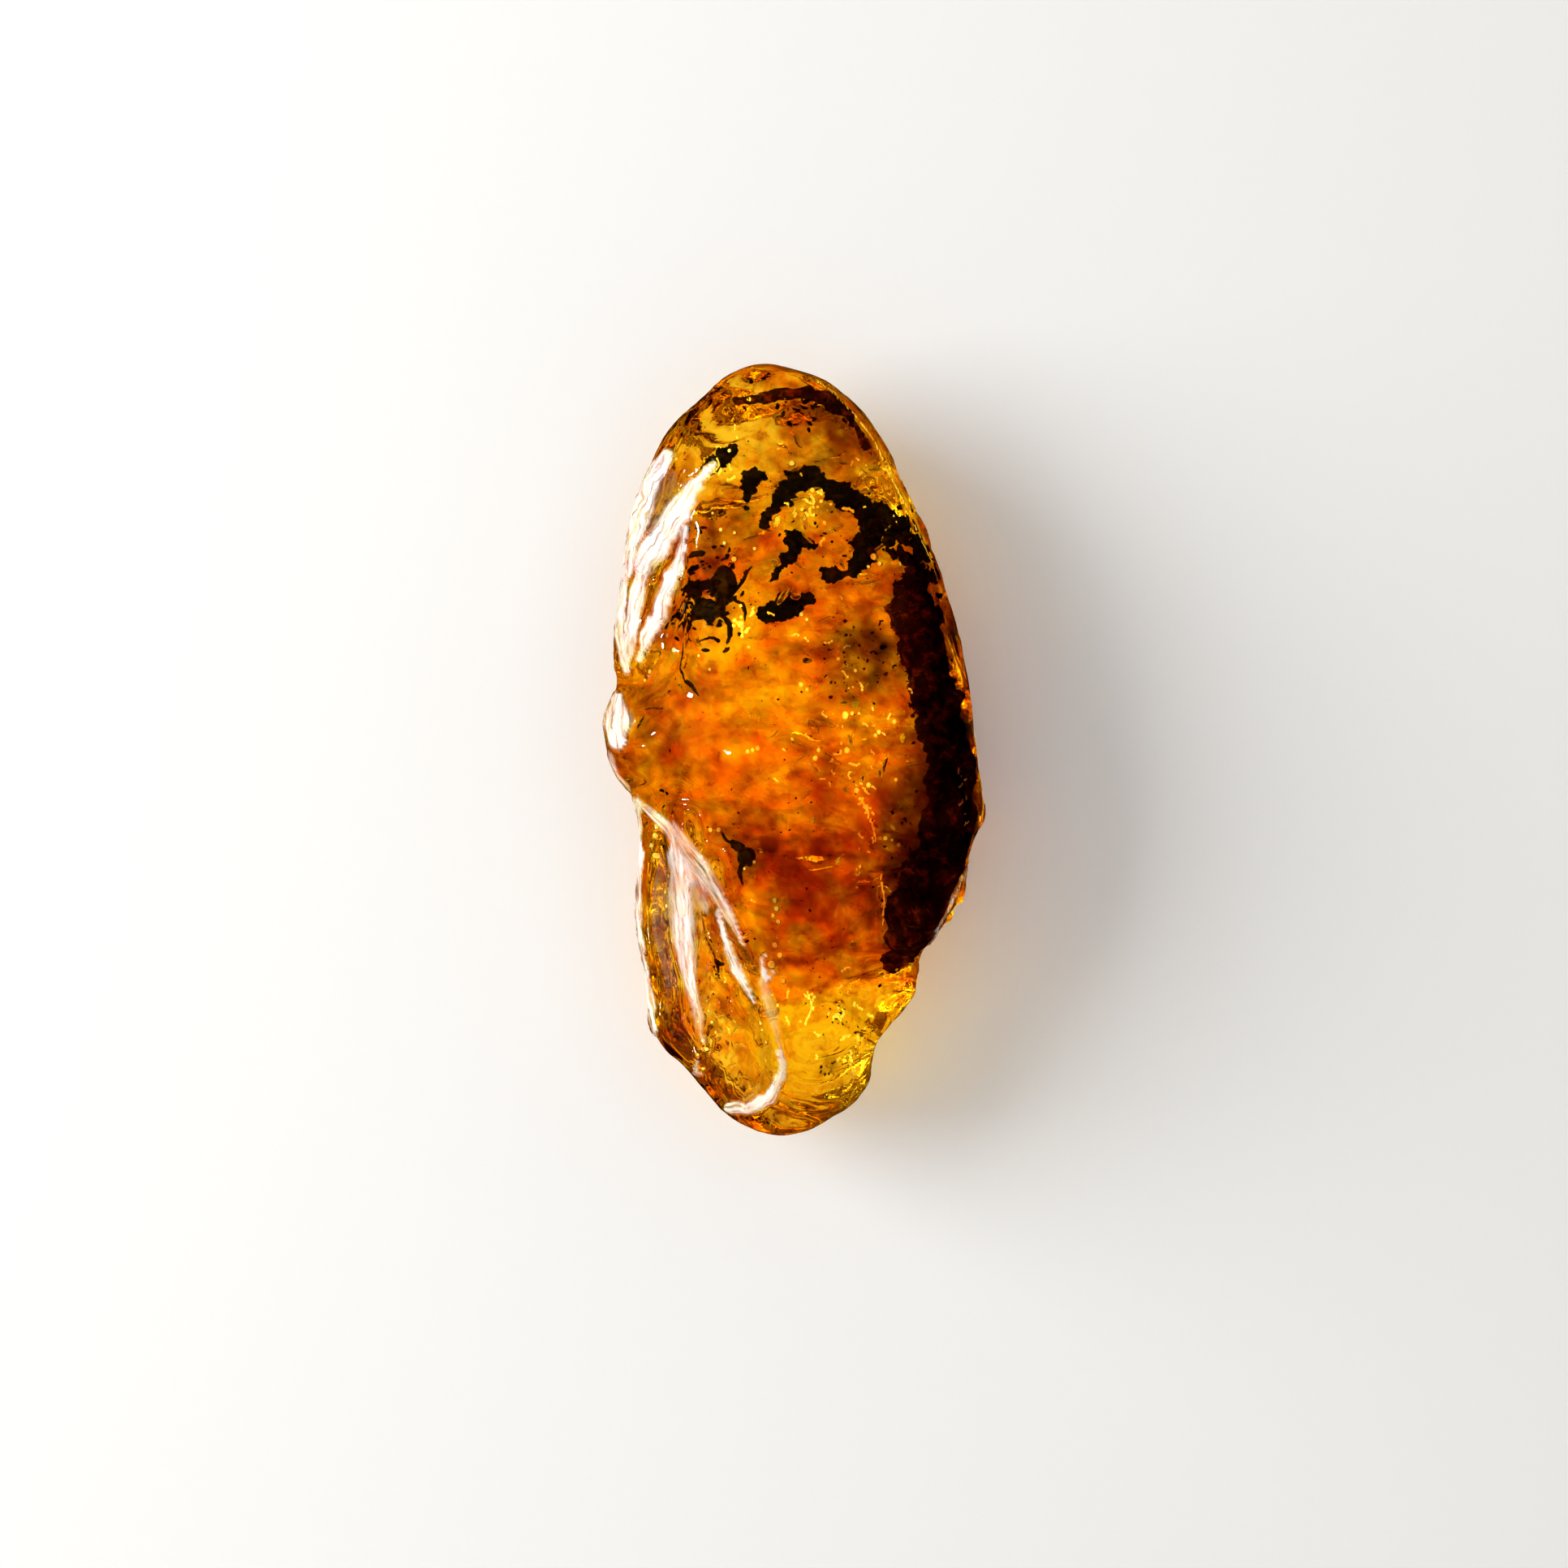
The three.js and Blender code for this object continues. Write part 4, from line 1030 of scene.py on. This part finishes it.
# Painted highlight: the whitish colour of the strokes
PAINTED_HIGHLIGHT_COLOUR = (0.93, 0.89, 0.86)
PAINTED_HIGHLIGHT_COVER = (0, 0.92)
HIGHLIGHT_STROKE_ROUGHNESS = (0.02, 0.42)
HIGHLIGHT_STROKE_TRANSMISSION = (1.0, 0.15)


def highlight_stroke_look(tree):
    """The highlight strokes' strength, broken into fine lines that run along them."""
    fibres = tree.nodes.new("ShaderNodeTexNoise")
    fibres.inputs["Scale"].default_value = 1.0
    fibres.inputs["Detail"].default_value = 4
    tree.links.new(attribute(tree, "lines", "Vector"), fibres.inputs["Vector"])
    line = ramp(tree, fibres.outputs["Fac"], FIBRE_STOPS)
    strength = tree.nodes.new("ShaderNodeMath")
    strength.operation = "MULTIPLY"
    tree.links.new(attribute(tree, "highlight_stroke_share", "Fac"), strength.inputs[0])
    tree.links.new(line, strength.inputs[1])
    return strength.outputs["Value"]


def amber_material():
    """Clear stone, tinted where it is stained, with rougher whitish strokes that are painted highlights."""
    material, tree, surface = shader("amber")
    tint = tree.nodes.new("ShaderNodeVertexColor")
    tint.layer_name = "tint"
    speckle = ramp(tree, noise(tree, 1100, 6, 0.65, 0.6), SPECKLE_STOPS)
    # Painted highlight: the strokes mix the tint towards a whitish colour, and also make the skin rougher and
    # less clear
    highlight_share = highlight_stroke_look(tree)
    mix = tree.nodes.new("ShaderNodeMix")
    mix.data_type = "RGBA"
    mix.inputs["B"].default_value = (*PAINTED_HIGHLIGHT_COLOUR, 1)
    tree.links.new(ranged(tree, highlight_share, *PAINTED_HIGHLIGHT_COVER), mix.inputs["Factor"])
    tree.links.new(multiplied(tree, tint.outputs["Color"], speckle), mix.inputs["A"])
    tree.links.new(mix.outputs["Result"], surface.inputs["Base Color"])
    tree.links.new(ranged(tree, highlight_share, *HIGHLIGHT_STROKE_ROUGHNESS), surface.inputs["Roughness"])
    tree.links.new(ranged(tree, highlight_share, *HIGHLIGHT_STROKE_TRANSMISSION), surface.inputs["Transmission Weight"])
    surface.inputs["IOR"].default_value = AMBER_IOR
    bumpy(tree, surface, noise(tree, 900, 3), 0.012)
    volume = tree.nodes.new("ShaderNodeVolumeAbsorption")
    volume.inputs["Color"].default_value = AMBER_ABSORPTION
    volume.inputs["Density"].default_value = AMBER_ABSORPTION_DENSITY
    tree.links.new(volume.outputs["Volume"], tree.nodes["Material Output"].inputs["Volume"])
    return material


# Colours of the finishes, dark and light, and their roughness or the strength of their painted glow
BARK = {"dark": (0.02, 0.0025, 0.001), "light": (0.32, 0.045, 0.008), "roughness": 0.75}
DEBRIS = {"dark": (0.002, 0.001, 0.001), "light": (0.035, 0.012, 0.004), "roughness": 0.7}
CRUMBS = {"dark": (0.006, 0.002, 0.001), "light": (0.07, 0.02, 0.005), "roughness": 0.7}
# Golden specks with a painted glow: painted glints
GLOWING_GOLD = {"dark": (0.9, 0.5, 0.08), "light": (1, 0.78, 0.25), "painted_glow": 0.35}
# Painted highlight of the bubbles: near white, with a painted glow
BUBBLE_HIGHLIGHT_LOOK = {"dark": (0.8, 0.76, 0.7), "light": (0.98, 0.96, 0.93), "painted_glow": 0.3}
ROUGHNESS_SPREAD = 0.15
CRUMBLY_SPECULAR = 0.05
SHELL_STOPS = [(0.4, (0.004, 0.002, 0.001)), (0.72, (0.03, 0.009, 0.003))]
SHELL_ROUGHNESS = (0.18, 0.42)
SHELL_SPECULAR = 0.15
SPECK_SKIN = (0.35, 0.6)


def crumbly_material(name, dark, light, roughness):
    """Charred wood and soil: near black, with brown grains and a torn surface."""
    material, tree, surface = shader(name)
    colour = ramp(tree, noise(tree, 1500, 6, 0.7), [(0.5, dark), (0.78, light)])
    tree.links.new(colour, surface.inputs["Base Color"])
    least, most = roughness - ROUGHNESS_SPREAD, roughness + ROUGHNESS_SPREAD
    tree.links.new(ranged(tree, noise(tree, 2600, 3), least, most), surface.inputs["Roughness"])
    surface.inputs["Specular IOR Level"].default_value = CRUMBLY_SPECULAR
    bumpy(tree, surface, noise(tree, 3200, 5, 0.7), 0.06)
    return material


def insect_material():
    """Glossy chitin, near black with red-brown where it is thin, and fine rings."""
    material, tree, surface = shader("insect")
    tree.links.new(ramp(tree, noise(tree, 1300, 4), SHELL_STOPS), surface.inputs["Base Color"])
    tree.links.new(ranged(tree, noise(tree, 3000, 3), *SHELL_ROUGHNESS), surface.inputs["Roughness"])
    bumpy(tree, surface, noise(tree, 4200, 3), 0.03)
    surface.inputs["Specular IOR Level"].default_value = SHELL_SPECULAR
    return material


def speck_material(name, dark, light, painted_glow):
    """Clouded resin with a few browner patches, glowing by its own emission: the painted glow of the glints
    and the bubble highlights.
    """
    material, tree, surface = shader(name)
    colour = ramp(tree, noise(tree, 2500, 3), [(0.35, dark), (0.6, light)])
    tree.links.new(colour, surface.inputs["Base Color"])
    tree.links.new(ranged(tree, noise(tree, 4000, 2), *SPECK_SKIN), surface.inputs["Roughness"])
    bumpy(tree, surface, noise(tree, 6000, 3), 0.02)
    # Painted glow: the specks give off light of their light colour, though they are no lamp
    surface.inputs["Emission Color"].default_value = (*light, 1)
    surface.inputs["Emission Strength"].default_value = painted_glow
    return material


# The view: the point looked at and the camera's distance from it, in millimetres
VIEW_CENTRE = (-0.675, -2.04, 7.2)
VIEW_DISTANCE = 268.3
LENS = 100
SENSOR_WIDTH = 36


def camera():
    """Looks straight down, as the photograph shows the nugget face on."""
    data = bpy.data.cameras.new("camera")
    data.lens = LENS
    data.sensor_width = SENSOR_WIDTH
    data.sensor_fit = "HORIZONTAL"
    data.clip_start = 0.01
    view = bpy.data.objects.new("camera", data)
    x, y, z = VIEW_CENTRE
    view.location = (x * MM, y * MM, (z + VIEW_DISTANCE) * MM)
    bpy.context.scene.collection.objects.link(view)
    bpy.context.scene.camera = view


# Studio lights: place and width in metres, and power
OVERHEAD = {"place": (0, 0, 0.6), "width": 0.7, "power": 0.6}
GLOW = {"place": (0, 0, 0.5), "width": 1.2, "power": 19}
KEY = {"place": (-0.35, 0.08, 0.2), "width": 0.3, "power": 2.4}
LIGHT_AIM = Vector((0, 0, 0.008))
WORLD_STRENGTH = 0.55

# Small lamps that only glint on the glossy skin, as (place, power)
SPARKS = [
    ((-0.3, 0.1, 0.12), 0.15), ((-0.32, -0.08, 0.1), 0.15),
    ((-0.25, 0.2, 0.2), 0.1), ((-0.2, -0.02, 0.3), 0.06),
]
SPARK_WIDTH = 0.02


def area_light(name, place, width, power, glossy=False, diffuse=True):
    """A soft square panel that faces the nugget."""
    data = bpy.data.lights.new(name, "AREA")
    data.size = width
    data.energy = power
    light = bpy.data.objects.new(name, data)
    light.location = place
    light.rotation_euler = (LIGHT_AIM - Vector(place)).to_track_quat("-Z", "Y").to_euler()
    light.visible_glossy = glossy
    light.visible_diffuse = diffuse
    bpy.context.scene.collection.objects.link(light)


def lights():
    world = bpy.data.worlds.new("studio")
    bpy.context.scene.world = world
    world.use_nodes = True
    backdrop = world.node_tree.nodes["Background"]
    backdrop.inputs["Color"].default_value = (1, 1, 1, 1)
    backdrop.inputs["Strength"].default_value = WORLD_STRENGTH
    world.cycles_visibility.glossy = False
    area_light("overhead", **OVERHEAD)
    area_light("glow", **GLOW, diffuse=False)
    area_light("key", **KEY)
    for number, (place, power) in enumerate(SPARKS):
        area_light(f"spark_{number}", place, SPARK_WIDTH, power, glossy=True, diffuse=False)


# The pale floor, just under the stone, in metres
FLOOR_REACH = 0.6
FLOOR_LEVEL = -0.05 * MM
FLOOR_COLOUR = (0.75, 0.74, 0.72, 1)
FLOOR_ROUGHNESS = 0.8


def floor():
    turns = [(-1, -1), (1, -1), (1, 1), (-1, 1)]
    corners = [(x * FLOOR_REACH, y * FLOOR_REACH, FLOOR_LEVEL) for x, y in turns]
    mesh = bpy.data.meshes.new("floor")
    mesh.from_pydata(corners, [], [(0, 1, 2, 3)])
    piece = bpy.data.objects.new("floor", mesh)
    bpy.context.scene.collection.objects.link(piece)
    material, _, surface = shader("floor")
    surface.inputs["Base Color"].default_value = FLOOR_COLOUR
    surface.inputs["Roughness"].default_value = FLOOR_ROUGHNESS
    mesh.materials.append(material)
    piece.visible_glossy = False


def dress(piece, material):
    piece.data.materials.clear()
    piece.data.materials.append(material)


bpy.context.scene.view_settings.view_transform = "Standard"
camera()
lights()
floor()
looks = {
    "bark": crumbly_material("bark", **BARK),
    "debris": crumbly_material("debris", **DEBRIS),
    "insect": insect_material(),
}
dress(amber_piece(), amber_material())
for node, slot, *form in TORN:
    dress(ragged(node, slot, *form), looks[slot])
crumbs = strewn_piece("debris_crumbs", crumb_parts(), "debris")
dress(crumbs, crumbly_material("crumbs", **CRUMBS))
# Golden specks with a painted glow: glints, seams and chains
specks = strewn_piece("glowing_glint_specks", speck_parts(), "amber")
dress(specks, speck_material("glowing_glint_specks", **GLOWING_GOLD))
# Painted highlights on the bubbles
bubble_highlight_piece = strewn_piece("painted_bubble_highlights", bubble_highlight_parts(), "amber")
dress(bubble_highlight_piece, speck_material("painted_bubble_highlights", **BUBBLE_HIGHLIGHT_LOOK))
for name in ("insect", "round_beetle", "gnat", "plant_needle"):
    dress(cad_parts[name], looks["insect"])
